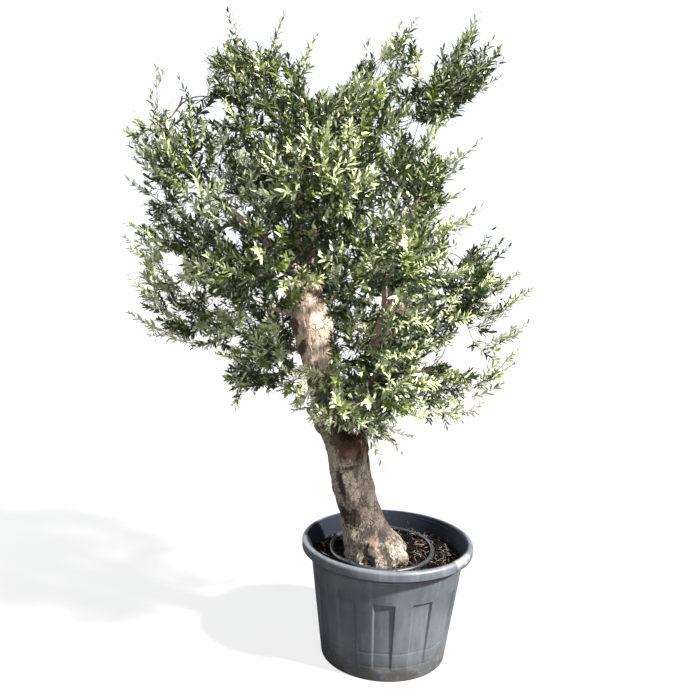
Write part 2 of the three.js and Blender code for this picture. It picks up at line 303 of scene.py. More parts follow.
def mixColours(tree, mask, first, second, blend="MIX"):
    mix = addNode(tree, "ShaderNodeMix", {"data_type": "RGBA", "blend_type": blend})
    for place, source in ((0, mask), (6, first), (7, second)):        # the sockets of the colour mix
        feed(mix.inputs[place], source)
    return mix.outputs[2]


def newGroup(name, **inputs):        # its inputs with their first values; it puts out one mask
    group = bpy.data.node_groups.new(name, "ShaderNodeTree")
    for label, value in inputs.items():
        kind = "NodeSocketVector" if isinstance(value, tuple) else "NodeSocketFloat"
        group.interface.new_socket(name=label, in_out="INPUT", socket_type=kind).default_value = value
    group.interface.new_socket(name="Mask", in_out="OUTPUT", socket_type="NodeSocketFloat")
    return group, addNode(group, "NodeGroupInput").outputs, addNode(group, "NodeGroupOutput").inputs["Mask"]


def maskOf(tree, group, **values):
    return addNode(tree, "ShaderNodeGroup", {"node_tree": group}, **values).outputs["Mask"]


def drawnOut(tree, stretch):        # Object coordinates, squeezed along Z so that marks are drawn out
    shape = addNode(tree, "ShaderNodeCombineXYZ", X=1.0, Y=1.0, Z=stretch).outputs["Vector"]
    return vectorOn(tree, "MULTIPLY", placeOn(tree), shape)


def makeSpeckle():        # small spots dealt over the surface: their size, how many, how soft
    group, entry, leave = newGroup("speckle", Scale=120.0, Amount=0.4, Softness=0.08)
    low = mathOn(group, "SUBTRACT", 1.0, entry["Amount"])
    high = mathOn(group, "ADD", low, entry["Softness"])
    feed(leave, mapRange(group, noiseOn(group, entry["Scale"], 2.0, 0.65), low, high, kind="SMOOTHSTEP"))
    return group


def makeStreaks():        # fibres and rain marks
    group, entry, leave = newGroup("streaks", Scale=60.0, Stretch=0.15, Wander=0.4)
    drawn = drawnOut(group, entry["Stretch"])
    feed(leave, noiseOn(group, entry["Scale"], 5.0, 0.6, drawn, Distortion=entry["Wander"]))
    return group


def makeDust():        # dust that lies on what faces up, broken by noise
    group, entry, leave = newGroup("dust", Scale=14.0, Lying=0.6, Everywhere=0.1)
    upward = mapRange(group, axesOf(group, facingOf(group))["Z"])
    lying = mathOn(group, "MULTIPLY_ADD", upward, entry["Lying"], entry["Everywhere"])
    clouds = mapRange(group, noiseOn(group, entry["Scale"], 6.0, 0.7), 0.35, 0.75)
    feed(leave, multiply(group, clouds, lying))
    return group


speckle = makeSpeckle()
streaks = makeStreaks()
dust = makeDust()


def newMaterial(name, roughness, shine):
    material = bpy.data.materials.new(name)
    material.use_nodes = True
    shader = material.node_tree.nodes["Principled BSDF"]
    setInputs(shader, Roughness=roughness, Specular_IOR_Level=shine)
    return material, material.node_tree, shader


def addBump(shader, height, strength, distance):
    bump = addNode(shader.id_data, "ShaderNodeBump", Height=height, Strength=strength, Distance=distance)
    feed(shader.inputs["Normal"], bump.outputs["Normal"])


pot = {
    "rimBand": 0.02,        # below the top, where the rim's radius is read
    "rimWidth": 0.024,
    "rimRound": 0.011,
    "lipRound": 0.006,
    "skirtDrop": 0.034,
    "skirtWall": 0.0045,
    "skirtHollow": 0.013,        # the hollow behind the skirt ends this far below the top
    "ridgeDrop": 0.025,        # thin ridge below the skirt
    "ridgeHalf": 0.0025,
    "ridgeProud": 0.0018,
    "wall": 0.007,
    "floor": 0.006,
    "footRound": 0.004,
    "grooves": (0.058, 0.112),
    "grooveHalf": 0.004,
    "grooveDepth": 0.0008,
    "staves": 12,
    "staveColumns": 20,        # columns of faces in each stave
    "recessColumns": 11,
    "recess": (0.044, 0.305),        # lowest and highest
    "recessRows": 4,        # of faces, above the grooves
    "recessSlope": 0.005,
    "recessCurve": 0.6,        # how fast it deepens upwards
    "recessDepth": 0.010,        # under the collar
    "recessShallow": 0.0014,        # at the foot
    "staveTurn": -93.4,        # degrees to the middle of the front recess
    "edgeWidth": 0.0009,
    "sharpFrom": 28,        # degrees between faces
    "skirtShadeHeights": (0.386, 0.402, 0.4115, 0.4125),        # painted shade: a dark band under the skirt
    "splashHeights": (0.11, 0.03),        # soil splashed on the foot
}


def readRim():        # height and widest radius of the CAD pot's rim
    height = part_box("Pot")[1].z
    return height, reachOf("Pot", height - pot["rimBand"], height)


def makePot(values):
    height, rimRadius = readRim()
    footRound, wall = values["footRound"], values["wall"]
    footRadius = reachOf("Pot", 0.001, footRound + 0.001)
    recessLow, recessHigh = values["recess"]
    shoulder = reachOf("Pot", recessHigh - 0.001, recessHigh + 0.001)
    slope = (shoulder - footRadius) / (recessHigh - footRound)

    def wallAt(z, proud=0.0):
        return at(footRadius + slope * (z - footRound) + proud, z)

    profile = [at(0, 0), at(footRadius * 0.5, 0)]
    profile += arcPoints((footRadius - footRound, footRound), footRound, -90, 0, 3)
    profile += [wallAt(0.03), wallAt(recessLow)]
    half = values["grooveHalf"]
    for groove in values["grooves"]:
        for share, depth in ((-2, 0), (-1, 0), (-1 / 3, 1), (1 / 3, 1), (1, 0), (2, 0)):
            profile.append(wallAt(groove + share * half, -depth * values["grooveDepth"]))
    rows, panelLow = values["recessRows"], values["grooves"][-1] + 0.02
    profile += [wallAt(panelLow + (recessHigh - panelLow) * row / rows) for row in range(rows + 1)]
    skirtZ = height - values["skirtDrop"]
    for share, proud in ((-1.6, 0), (-0.6, 1), (0.6, 1), (1.6, 0)):
        level = skirtZ - values["ridgeDrop"] + share * values["ridgeHalf"]
        profile.append(wallAt(level, proud * values["ridgeProud"]))
    inside, hollow = rimRadius - values["skirtWall"], height - values["skirtHollow"]
    profile += [wallAt(skirtZ), at(wallAt(skirtZ).x + 0.002, hollow), at(inside - 0.003, hollow),
                at(inside, skirtZ + 0.001), at(inside + 0.001, skirtZ), at(rimRadius - 0.0015, skirtZ),
                at(rimRadius - 0.0005, skirtZ + 0.0015)]
    rimRound, lipRound = values["rimRound"], values["lipRound"]
    lip = rimRadius - values["rimWidth"] + lipRound
    profile += arcPoints((rimRadius - rimRound, height - rimRound), rimRound, 0, 90, 6)
    profile += arcPoints((lip, height - lipRound), lipRound, 90, 180, 4)
    deepWall = wall + values["recessDepth"]
    profile += [wallAt(skirtZ, -wall), wallAt(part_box("Soil")[1].z - 0.02, -wall),
                wallAt(recessHigh, -deepWall), wallAt(values["floor"], -deepWall), at(0, values["floor"])]

    work = bmesh.new()
    addProfile(work, profile)
    columns = values["staves"] * values["staveColumns"]
    column = 360 / columns
    spinRound(work, columns)
    bmesh.ops.remove_doubles(work, verts=work.verts, dist=weld)
    bmesh.ops.recalc_face_normals(work, faces=work.faces)
    turnRound(work, values["staveTurn"] - column / 2)
    pitch = 360 / values["staves"]
    panels = {}
    for face in work.faces:
        middle = face.calc_center_median()
        outside = math.hypot(middle.x, middle.y) > wallAt(middle.z).x - wall / 2
        bearing = (math.degrees(math.atan2(middle.y, middle.x)) - values["staveTurn"]) % 360
        stave = round(bearing / pitch)
        nearMiddle = abs(bearing - stave * pitch) < column * values["recessColumns"] / 2
        if outside and recessLow < middle.z < recessHigh and nearMiddle:
            panels.setdefault(stave % values["staves"], []).append(face)
    deepening = values["recessDepth"] - values["recessShallow"]
    for panel in panels.values():        # each stave's recess, deepest under the collar
        bmesh.ops.inset_region(work, faces=panel, thickness=values["recessSlope"],
                               depth=-values["recessShallow"], use_even_offset=True)
        for vert in {vert for face in panel for vert in face.verts}:
            share = (vert.co.z - recessLow) / (recessHigh - recessLow)
            deeper = deepening * max(0, share) ** values["recessCurve"]
            vert.co -= Vector((vert.co.x, vert.co.y, 0)).normalized() * deeper
    sharp = [edge for edge in work.edges
             if len(edge.link_faces) == 2 and edge.calc_face_angle(0) > math.radians(values["sharpFrom"])]
    bmesh.ops.bevel(work, geom=sharp, offset=values["edgeWidth"], offset_type="OFFSET", affect="EDGES",
                    segments=2, profile=0.5, material=-1, clamp_overlap=True)
    return bmeshObject("potShell", work)


def makePotPlastic(values):        # dull black nursery plastic, greyed by sun and dust, with painted shade inside and under the skirt
    material, tree, shader = newMaterial("potPlastic", 0.5, 0.45)
    clouds = noiseOn(tree, 5.0, 5.0, 0.6)
    surface = rampOn(tree, clouds, (0.3, (0.041, 0.049, 0.066)), (0.7, (0.069, 0.080, 0.100)))
    rain = maskOf(tree, streaks, Scale=38.0, Stretch=0.08, Wander=0.2)
    surface = mixColours(tree, mapRange(tree, rain, 0.52, 0.78, 0.0, 0.35), surface, (0.18, 0.19, 0.20))
    fallen = maskOf(tree, dust, Scale=9.0, Lying=0.45, Everywhere=0.16)
    surface = mixColours(tree, fallen, surface, (0.22, 0.235, 0.25))
    height = axesOf(tree, placeOn(tree))["Z"]
    splash = mapRange(tree, noiseOn(tree, 24.0, 6.0, 0.7), 0.34, 0.56, 0.0, 0.9)
    splashed = multiply(tree, mapRange(tree, height, *values["splashHeights"]), splash)
    surface = mixColours(tree, splashed, surface, (0.040, 0.036, 0.031))
    level = vectorOn(tree, "MULTIPLY", placeOn(tree), (1, 1, 0))
    inner = mapRange(tree, vectorOn(tree, "DOT_PRODUCT", level, facingOf(tree), output="Value"), 0.01, -0.05)
    surface = mixColours(tree, inner, surface, (0.010, 0.013, 0.021))        # painted shade: the wall inside is darkened, and its reflection dulled, as if it sees no sun
    # painted shade: a darker band on the wall just under the skirt, where the rim's shadow falls
    skirtShade = rampOn(tree, height, *zip(values["skirtShadeHeights"], (0.0, 0.9, 0.9, 0.0)))
    surface = mixColours(tree, skirtShade, surface, (0.010, 0.012, 0.018))
    flecks = maskOf(tree, speckle, Scale=210.0, Amount=0.27, Softness=0.03)
    setInputs(shader, Base_Color=mixColours(tree, flecks, surface, (0.5, 0.5, 0.48)),
              Specular_IOR_Level=mapRange(tree, inner, toMin=0.45, toMax=0.08),
              Roughness=mapRange(tree, clouds, 0.3, 0.7, 0.42, 0.62))
    addBump(shader, noiseOn(tree, 420.0), 0.25, 0.0006)
    return material


settle(makePot(pot), makePotPlastic(pot), "pot", "Pot")
print("pot ready")

soil = {
    "depth": 0.05,        # of the modelled layer
    "draft": 0.008,        # narrower at the layer's foot
    "rings": 44,
    "spokes": 132,
    "relief": 0.011,        # full height of the broad unevenness
    "crumb": 0.004,
    "reliefScale": 9,
    "crumbScale": 60,
}


def soilLift(x, y):        # height of the soil above its level at a place
    broad, fine = soil["reliefScale"], soil["crumbScale"]
    broad = noise.fractal(Vector((x * broad, y * broad, 0.3)), 1.0, 2.0, 3)
    fine = noise.fractal(Vector((x * fine, y * fine, 5.1)), 0.9, 2.0, 3)
    return soil["relief"] * broad * 0.5 + soil["crumb"] * fine


def makeSoil(values):
    low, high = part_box("Soil")
    radius, level, rings = (high.x - low.x) / 2, high.z, values["rings"]
    work = bmesh.new()
    addProfile(work, [at(radius * ring / rings, level) for ring in range(rings + 1)]
               + [at(radius - values["draft"], level - values["depth"]), at(0, level - values["depth"])])
    spinRound(work, values["spokes"])
    bmesh.ops.remove_doubles(work, verts=work.verts, dist=weld)
    for vert in work.verts:
        if vert.co.z > level - 0.001:
            vert.co.z += soilLift(vert.co.x, vert.co.y)
    return bmeshObject("soilBed", work)


def makeSoilEarth():
    material, tree, shader = newMaterial("darkEarthWithPaintedShade", 0.95, 0.08)
    # very dark earth, made darker still as painted shade
    earth = rampOn(tree, noiseOn(tree, 28.0, 8.0, 0.75), (0.3, (0.0014, 0.0012, 0.0011)),
                   (0.55, (0.003, 0.0025, 0.0022)), (0.8, (0.008, 0.006, 0.005)))
    bits = maskOf(tree, speckle, Scale=150.0, Amount=0.36, Softness=0.05)
    setInputs(shader, Base_Color=mixColours(tree, bits, earth, (0.022, 0.016, 0.013)))
    addBump(shader, noiseOn(tree, 190.0, 6.0, 0.8), 0.9, 0.004)
    return material


settle(makeSoil(soil), makeSoilEarth(), "soil", "Soil")
print("soil ready")


def arraysOf(work):        # a small bmesh as points and triangles
    bmesh.ops.triangulate(work, faces=work.faces)
    work.verts.index_update()
    points = numpy.array([vert.co[:] for vert in work.verts])
    faces = numpy.array([[vert.index for vert in face.verts] for face in work.faces])
    work.free()
    return points, faces


def meshFromArrays(name, points, faces):
    mesh = bpy.data.meshes.new(name)
    mesh.vertices.add(len(points))
    mesh.vertices.foreach_set("co", numpy.asarray(points, numpy.float32).ravel())
    mesh.loops.add(faces.size)
    mesh.loops.foreach_set("vertex_index", faces.astype(numpy.int32).ravel())
    mesh.polygons.add(len(faces))
    mesh.polygons.foreach_set("loop_start", numpy.arange(0, faces.size, 3, dtype=numpy.int32))
    mesh.update(calc_edges=True)
    return linkNew(name, mesh)


def unit(vectors):
    return vectors / numpy.maximum(numpy.linalg.norm(vectors, axis=-1, keepdims=True), 1e-9)


def dealOut(name, template, places, along, facing, lengths, widths):        # many copies in one joined mesh
    points, faces = template
    along = unit(along)
    across = unit(numpy.cross(facing, along))
    made = places[:, None, :]
    normal = numpy.cross(along, across)
    for axis, sizes, ways in ((0, lengths, along), (1, widths, across), (2, lengths, normal)):
        made = made + points[None, :, axis, None] * sizes[:, None, None] * ways[:, None, :]
    joined = faces[None, :, :] + (numpy.arange(len(places)) * len(points))[:, None, None]
    return meshFromArrays(name, made.reshape(-1, 3), joined.reshape(-1, 3))


litter = {
    "seed": 11,
    "edgeRoom": 0.012,        # kept clear along the pot's wall
    "trunkPlace": (-0.04, -0.02),
    "trunkReach": 0.085,        # nothing lies under the trunk
    "tilt": 0.22,
    "heapScale": 14,        # it lies in heaps
    "heapKeep": 0.55,        # share kept between them
    "rightMore": 0.35,        # and how much more lies to the right
    "kinds": {        # count, lengths, width, whether that is a share of the length, lift off the soil, roll
        "barkChips": (900, (0.006, 0.018), 0.42, True, (0.0, 0.006), 0.3),
        "fallenLeaves": (110, (0.012, 0.026), 0.24, True, (0.002, 0.01), 0.3),
        "dryStraws": (300, (0.015, 0.050), 0.0018, False, (0.002, 0.01), 1.6),
    },
}


def longBar(cuts):        # a cube cut across along X
    work = bmesh.new()
    bmesh.ops.create_cube(work, size=1)
    long = [edge for edge in work.edges if abs(edge.verts[0].co.x - edge.verts[1].co.x) > 0.5]
    bmesh.ops.subdivide_edges(work, edges=long, cuts=cuts)
    return work


def chipTemplate():        # a splinter of bark with its ends drawn in
    work = longBar(1)
    for vert in work.verts:
        if abs(vert.co.x) > 0.4:
            vert.co.y *= 0.55
            vert.co.z *= 0.5
    bmesh.ops.scale(work, vec=(1, 1, 0.16), verts=work.verts)
    return arraysOf(work)


def dryLeafTemplate():        # a fallen leaf, curled along and across
    work = bmesh.new()
    bmesh.ops.create_grid(work, x_segments=4, y_segments=2, size=0.5)
    for vert in work.verts:
        share = vert.co.x + 0.5
        vert.co.y *= math.sin(math.pi * (0.04 + 0.92 * share)) ** 0.8
        vert.co.z = 0.12 * math.sin(math.pi * share) + abs(vert.co.y) * 0.22
    bmesh.ops.remove_doubles(work, verts=work.verts, dist=0.02)
    return arraysOf(work)


def strawTemplate():        # a thin strip of wood that bends towards the way it faces
    work = longBar(4)
    bmesh.ops.scale(work, vec=(1, 1, 0.025), verts=work.verts)
    for vert in work.verts:
        vert.co.z += 0.22 * math.cos(math.pi * vert.co.x) + 0.05 * math.sin(9 * vert.co.x)
    return arraysOf(work)


def scatterOnSoil(values, chance, count, sizes, lift, roll):
    low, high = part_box("Soil")
    radius = (high.x - low.x) / 2 - values["edgeRoom"]
    trunkX, trunkY = values["trunkPlace"]
    places = []
    while len(places) < count:
        bearing, reach = chance.uniform(0, math.tau), radius * math.sqrt(chance.random())
        x, y = reach * math.cos(bearing), reach * math.sin(bearing)
        if math.hypot(x - trunkX, y - trunkY) < values["trunkReach"]:
            continue
        heap = noise.noise(Vector((x * values["heapScale"], y * values["heapScale"], 2.7)))
        if chance.random() > values["heapKeep"] + heap + values["rightMore"] * x / radius:
            continue
        places.append((x, y, high.z + soilLift(x, y) + chance.uniform(*lift)))
    turns = [chance.uniform(0, math.tau) for place in places]
    along = numpy.array([(math.cos(turn), math.sin(turn), 0) for turn in turns])
    along[:, 2] = [chance.gauss(0, values["tilt"]) for place in places]
    facing = numpy.array([(chance.gauss(0, roll), chance.gauss(0, roll), 1) for place in places])
    return numpy.array(places), along, facing, numpy.array([chance.uniform(*sizes) for place in places])


def makeLitterMaterial(name, dark, light, roughness):
    material, tree, shader = newMaterial(name, roughness, 0.08)
    tones = rampOn(tree, noiseOn(tree, 65.0, 3.0, 0.7), (0.42, dark), (0.66, light))
    # every litter colour is darkened by the same share: painted shade
    setInputs(shader, Base_Color=mixColours(tree, 0.35, tones, (0, 0, 0), "MULTIPLY"))
    addBump(shader, maskOf(tree, streaks, Scale=420.0, Stretch=0.4, Wander=0.3), 0.6, 0.001)
    return material


def makeLitter(values):
    chance = random.Random(values["seed"])
    looks = (
        (chipTemplate(), "barkChip", (0.001, 0.0008, 0.0007), (0.004, 0.003, 0.0026), 0.85),
        (dryLeafTemplate(), "fallenLeaf", (0.002, 0.0015, 0.001), (0.035, 0.019, 0.012), 0.7),
        (strawTemplate(), "dryStraw", (0.008, 0.005, 0.004), (0.40, 0.31, 0.25), 0.7),
    )
    for (name, kind), (template, *look) in zip(values["kinds"].items(), looks):
        count, sizes, width, isShare, lift, roll = kind
        places, along, facing, lengths = scatterOnSoil(values, chance, count, sizes, lift, roll)
        widths = lengths * width if isShare else numpy.full(count, width)
        piece = dealOut(name, template, places, along, facing, lengths, widths)
        settle(piece, makeLitterMaterial(*look), "soil")


makeLitter(litter)
print("litter ready")

hose = {
    "tube": 0.008,
    "sides": 14,
    "steps": 120,
    "wave": 0.0022,        # how far it rises off the soil here and there
    "oval": 0.012,
}


def makeHose(values):
    low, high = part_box("DripRing")
    reach = (high - low) / 2
    tube, wave = values["tube"], values["wave"]
    work = bmesh.new()
    bmesh.ops.create_circle(work, segments=values["sides"], radius=tube)
    turnRound(work, 90, "X")
    bmesh.ops.translate(work, verts=work.verts, vec=(reach.x - tube, 0, 0))
    spinRound(work, values["steps"])
    for vert in work.verts:
        bearing = math.atan2(vert.co.y, vert.co.x)
        vert.co.y *= (reach.y - tube) / (reach.x - tube)
        vert.co.z += wave * (math.sin(3 * bearing + 1.0) + 0.6 * math.sin(5 * bearing))
        vert.co.x *= 1 + values["oval"] * math.sin(2 * bearing + 0.4)
    bmesh.ops.translate(work, verts=work.verts, vec=(low.x + reach.x, low.y + reach.y, low.z + tube + wave))
    return bmeshObject("dripHose", work)


def makeHoseRubber():
    material, tree, shader = newMaterial("hoseRubber", 0.38, 0.5)
    clouds = noiseOn(tree, 22.0, 4.0)
    black = rampOn(tree, clouds, (0.35, (0.007, 0.009, 0.014)), (0.7, (0.022, 0.027, 0.038)))
    fallen = maskOf(tree, dust, Scale=30.0, Lying=0.25, Everywhere=0.0)
    setInputs(shader, Base_Color=mixColours(tree, fallen, black, (0.12, 0.11, 0.1)),
              Roughness=mapRange(tree, clouds, toMin=0.3, toMax=0.55))
    addBump(shader, noiseOn(tree, 500.0), 0.15, 0.0004)
    return material


settle(makeHose(hose), makeHoseRubber(), "hose", "DripRing")
print("hose ready")

rimTape = {
    "bearings": (-43, -24),        # degrees round the rim
    "steps": 14,
    "lift": 0.0007,
    "drop": 0.030,        # how far it wraps down the skirt
    "inward": 0.020,
    "thickness": 0.6,        # share of its lift
}


def makeRimTape(values):        # a plain bare strip of film stuck over the rim
    height, rimRadius = readRim()
    rimRound, lift = pot["rimRound"], values["lift"]
    start, end = values["bearings"]
    work = bmesh.new()
    addProfile(work, [at(rimRadius + lift, height - values["drop"]),
                      *arcPoints((rimRadius - rimRound, height - rimRound), rimRound + lift, 0, 90, 8),
                      at(rimRadius - values["inward"], height + lift)])
    turnRound(work, start)
    spinRound(work, values["steps"], math.radians(end - start))
    bmesh.ops.recalc_face_normals(work, faces=work.faces)
    bmesh.ops.solidify(work, geom=work.faces[:], thickness=lift * values["thickness"])
    return bmeshObject("rimTape", work)


def makeTapeFilm():
    material, tree, shader = newMaterial("whiteFilm", 0.35, 0.5)
    creases = noiseOn(tree, 55.0, 5.0, 0.65)
    film = rampOn(tree, creases, (0.35, (0.12, 0.135, 0.155)), (0.65, (0.27, 0.29, 0.32)))
    setInputs(shader, Base_Color=film)
    addBump(shader, creases, 0.3, 0.0012)
    return material


settle(makeRimTape(rimTape), makeTapeFilm(), "pot")
print("rim tape ready")

limbs = {
    "stems": ("Trunk", "MainLimb", "RightLimb"),
    "stemBands": 11,
    "stemCut": 0.11,        # of each stem's foot, where the CAD limb is cut by its neighbour
    "boughBands": 5,
    "boughCut": 0.2,        # share of a bough
    "sunkIn": 0.035,        # how far a limb starts inside the one that bears it
    "collar": 0.45,        # how much thicker a bough is where it leaves
    "collarReach": 0.03,
    "boughEnd": 0.6,        # share of the CAD bough's girth left at its end
}


def travelAlong(points):
    return numpy.concatenate([[0], numpy.cumsum(numpy.linalg.norm(numpy.diff(points, axis=0), axis=1))])


def resample(points, girths, steps):        # even steps along a chain, rounded through its points
    lengths = travelAlong(points)
    table = numpy.column_stack([points, girths])
    result = []
    for place in numpy.linspace(0, lengths[-1], steps):
        index = min(max(numpy.searchsorted(lengths, place) - 1, 0), len(points) - 2)
        share = (place - lengths[index]) / (lengths[index + 1] - lengths[index])
        before, first, second = table[max(index - 1, 0)], table[index], table[index + 1]
        after = table[min(index + 2, len(points) - 1)]
        result.append(0.5 * (2 * first + (second - before) * share
                             + (2 * before - 5 * first + 4 * second - after) * share ** 2
                             + (3 * first - 3 * second + after - before) * share ** 3))
    result = numpy.array(result)
    return result[:, :3], numpy.maximum(result[:, 3], 0.002)


def limbSpine(node, along, bands, skip):        # middles and girths of cuts across a CAD limb
    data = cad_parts[node].data
    along = Vector(along).normalized()
    heights = [vertex.co.dot(along) for vertex in data.vertices]
    low, high = min(heights) + skip, max(heights)
    middles, girths = [], []
    for step in range(bands):
        level = low + (high - low) * (step + 0.25) / (bands - 0.5)
        work = bmesh.new()
        work.from_mesh(data)
        cut = bmesh.ops.bisect_plane(work, geom=work.verts[:] + work.edges[:] + work.faces[:],
                                     plane_co=along * level, plane_no=along)
        edges = [item for item in cut["geom_cut"] if isinstance(item, bmesh.types.BMEdge)]
        total = sum(edge.calc_length() for edge in edges)
        if total > 0:
            parts = [(edge.verts[0].co + edge.verts[1].co) / 2 * edge.calc_length() for edge in edges]
            middle = sum(parts, Vector())
            middles.append((middle / total)[:])
            girths.append(total / math.tau)
        work.free()
    return numpy.array(middles), numpy.array(girths)


def growBack(points, girths, reach):        # starts a limb inside the one that bears it
    start = points[0] - unit(points[1] - points[0]) * reach
    return numpy.vstack([start, points]), numpy.concatenate([[girths[0]], girths])


def readLimbs(values):
    stems, boughs = {}, {}
    for node in values["stems"]:
        skip = 0.0 if node == "Trunk" else values["stemCut"]
        stems[node] = limbSpine(node, upAxis, values["stemBands"], skip)
    bearers = numpy.vstack([stems[node][0] for node in values["stems"][1:]])
    for node in sorted(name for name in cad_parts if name.startswith("Bough")):
        points = numpy.array([vertex.co[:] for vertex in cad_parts[node].data.vertices])
        gaps = numpy.linalg.norm(points[:, None, :] - bearers[None, :, :], axis=2).min(axis=1)
        start = points[numpy.argsort(gaps)[:4]].mean(axis=0)
        away = numpy.linalg.norm(points - start, axis=1)
        end = points[numpy.argsort(away)[-4:]].mean(axis=0)
        skip = values["boughCut"] * numpy.linalg.norm(end - start)
        middles, girths = limbSpine(node, end - start, values["boughBands"], skip)
        boughs[node] = growBack(middles, girths, skip + values["sunkIn"])
    return stems, boughs


stems, boughs = readLimbs(limbs)
print("limbs read:", len(stems), "stems and", len(boughs), "boughs")

bark = {
    "voxel": 0.0042,
    "stemSides": 28,
    "boughSides": 12,
    "step": 0.02,        # between rings
    "stemStart": (0.45, 0.85),        # shares of the girth at a limb's first two rings
    "lump": (0.010, 11),        # relief and its scale, from broad to fine
    "rib": (0.0045, 34),
    "plate": (0.0018, 120),
    "grain": (0.0010, 240),
    "ribStretch": 0.25,        # ribs and plates are drawn out along the trunk
    "plateStretch": 0.45,
    "calmFrom": 1.42,        # above this height the relief is slightest
    "calmOver": 0.5,
    "calmest": 0.35,
    "buried": 0.004,        # how far the foot may reach into the soil
    "rootLumps": [        # bearing in degrees, height, how far out, radius
        (-36, 0.012, 0.116, 0.028), (-60, 0.022, 0.076, 0.056), (-82, 0.012, 0.080, 0.050),
        (-124, 0.015, 0.090, 0.036), (-42, 0.034, 0.076, 0.046), (-100, 0.05, 0.066, 0.044),
        (-165, 0.02, 0.080, 0.034), (15, 0.02, 0.080, 0.036), (60, 0.02, 0.084, 0.036),
        (110, 0.02, 0.084, 0.036),
    ],
    "lumpShape": (1.1, 0.8, 1.25, 1),
    "neckLumps": [        # x, y, z, radius: fills the crook where the main limb leaves
        (-0.187, -0.02, 0.80, 0.060), (-0.207, -0.02, 0.845, 0.058), (-0.224, -0.02, 0.885, 0.060),
        (-0.240, -0.02, 0.925, 0.060),
    ],
    "waist": (0.535, 0.07, 0.010),        # height, half height and depth of the slack on the right side
    "hollows": [        # x, y, z, radius and depth: at the foot and at the neck
        (-0.075, -0.135, 0.395, 0.03, 0.034), (-0.150, -0.125, 0.868, 0.075, 0.028),
    ],
}


def addTube(work, centres, girths, sides):        # a ring drawn along a spine, ends closed
    ring = bmesh.ops.create_circle(work, segments=sides, radius=1, cap_ends=False)["verts"]
    edges = first = list({edge for vert in ring for edge in vert.link_edges})
    tangents = numpy.gradient(centres, axis=0)
    side = Vector((0, 1, 0)) if abs(unit(tangents[0])[1]) < 0.9 else Vector((1, 0, 0))
    last = Matrix.Identity(4)
    for index, (centre, girth, tangent) in enumerate(zip(centres, girths, tangents)):
        along = Vector(tangent).normalized()
        side = (side - along * side.dot(along)).normalized()
        turn = Matrix((side * girth, along.cross(side) * girth, along * girth)).transposed().to_4x4()
        pose = Matrix.Translation(centre) @ turn
        if index:
            made = bmesh.ops.extrude_edge_only(work, edges=edges)["geom"]
            ring = [item for item in made if isinstance(item, bmesh.types.BMVert)]
            edges = [item for item in made if isinstance(item, bmesh.types.BMEdge)]
        bmesh.ops.transform(work, matrix=pose @ last.inverted(), verts=ring)
        last = pose
    for end in (first, edges):
        bmesh.ops.holes_fill(work, edges=end, sides=0)


def collared(points, girths, values):
    past = ((travelAlong(points) - values["sunkIn"]) / values["collarReach"]).clip(0)
    return girths * (1 + values["collar"] * numpy.exp(-past ** 2))


def barkRelief(place, upright):        # how far the bark stands out at a place
    (lump, lumpScale), (rib, ribScale) = bark["lump"], bark["rib"]
    (plate, plateScale), (grain, grainScale) = bark["plate"], bark["grain"]
    ribbed = Vector((place.x, place.y, place.z * bark["ribStretch"]))
    plated = Vector((place.x, place.y, place.z * bark["plateStretch"]))
    broad = (noise.fractal(place * lumpScale, 1.0, 2.0, 2) * lump
             + noise.fractal(ribbed * ribScale, 0.9, 2.1, 3) * rib)
    fine = noise.noise(plated * plateScale) * plate + noise.noise(place * grainScale) * grain
    return broad * upright + fine


def addLumps(work, values, foot, ground):
    for bearing, height, out, radius in values["rootLumps"]:
        angle = math.radians(bearing)
        place = (foot[0] + out * math.cos(angle), foot[1] + out * math.sin(angle), ground + height)
        lean = Matrix.Rotation(angle, 4, "Z") @ Matrix.Diagonal(values["lumpShape"])
        bmesh.ops.create_icosphere(work, subdivisions=3, radius=radius,
                                   matrix=Matrix.Translation(place) @ lean)
    for *place, radius in values["neckLumps"]:
        bmesh.ops.create_icosphere(work, subdivisions=3, radius=radius, matrix=Matrix.Translation(place))


def joinWood(piece, voxel):        # one closed skin over all the tubes and lumps
    shrink = piece.modifiers.new("join", "REMESH")
    shrink.mode = "VOXEL"
    shrink.voxel_size = voxel
    graph = bpy.context.evaluated_depsgraph_get()
    joined = bpy.data.meshes.new_from_object(piece.evaluated_get(graph))
    piece.modifiers.clear()
    piece.data = joined


def barkMove(place, normal, values):
    least = values["calmest"]
    thick = min(1.0, least + (1 - least) * max(0, values["calmFrom"] - place.z) / values["calmOver"])
    middle, half, slack = values["waist"]
    move = barkRelief(place, thick) - slack * max(0, normal.x) * math.exp(-((place.z - middle) / half) ** 2)
    for *hole, size, depth in values["hollows"]:
        gap = (place - Vector(hole)).length / size
        if gap < 1:
            move -= depth * (1 - gap * gap) ** 2
    return normal * move


def makeBark(values):
    work = bmesh.new()
    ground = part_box("Trunk")[0].z
    for node in limbs["stems"]:
        middles, girths = stems[node]
        if node == "Trunk":
            middles = middles.copy()
            middles[0, 2] = ground
        else:
            middles, girths = growBack(middles, girths, limbs["stemCut"])
            girths[:2] *= values["stemStart"]
        steps = int((middles[-1, 2] - middles[0, 2]) / values["step"])
        addTube(work, *resample(middles, girths, steps), values["stemSides"])
    for middles, girths in boughs.values():
        steps = max(6, int(travelAlong(middles)[-1] / values["step"]))
        centres, sizes = resample(middles, girths, steps)
        sizes = sizes * numpy.linspace(1.0, limbs["boughEnd"], steps)
        addTube(work, centres, collared(centres, sizes, limbs), values["boughSides"])
    addLumps(work, values, stems["Trunk"][0][0], ground)
    piece = bmeshObject("barkWood", work)
    joinWood(piece, values["voxel"])

    work = bmesh.new()
    work.from_mesh(piece.data)
    for turn in range(3):
        bmesh.ops.smooth_vert(work, verts=work.verts, factor=0.5, use_axis_x=True, use_axis_y=True,
                              use_axis_z=True)
    work.normal_update()
    moves = [barkMove(vert.co, vert.normal, values) for vert in work.verts]
    for vert, move in zip(work.verts, moves):
        vert.co += move
        vert.co.z = max(vert.co.z, ground - values["buried"])
    finishMesh(work, piece.data)
    return piece


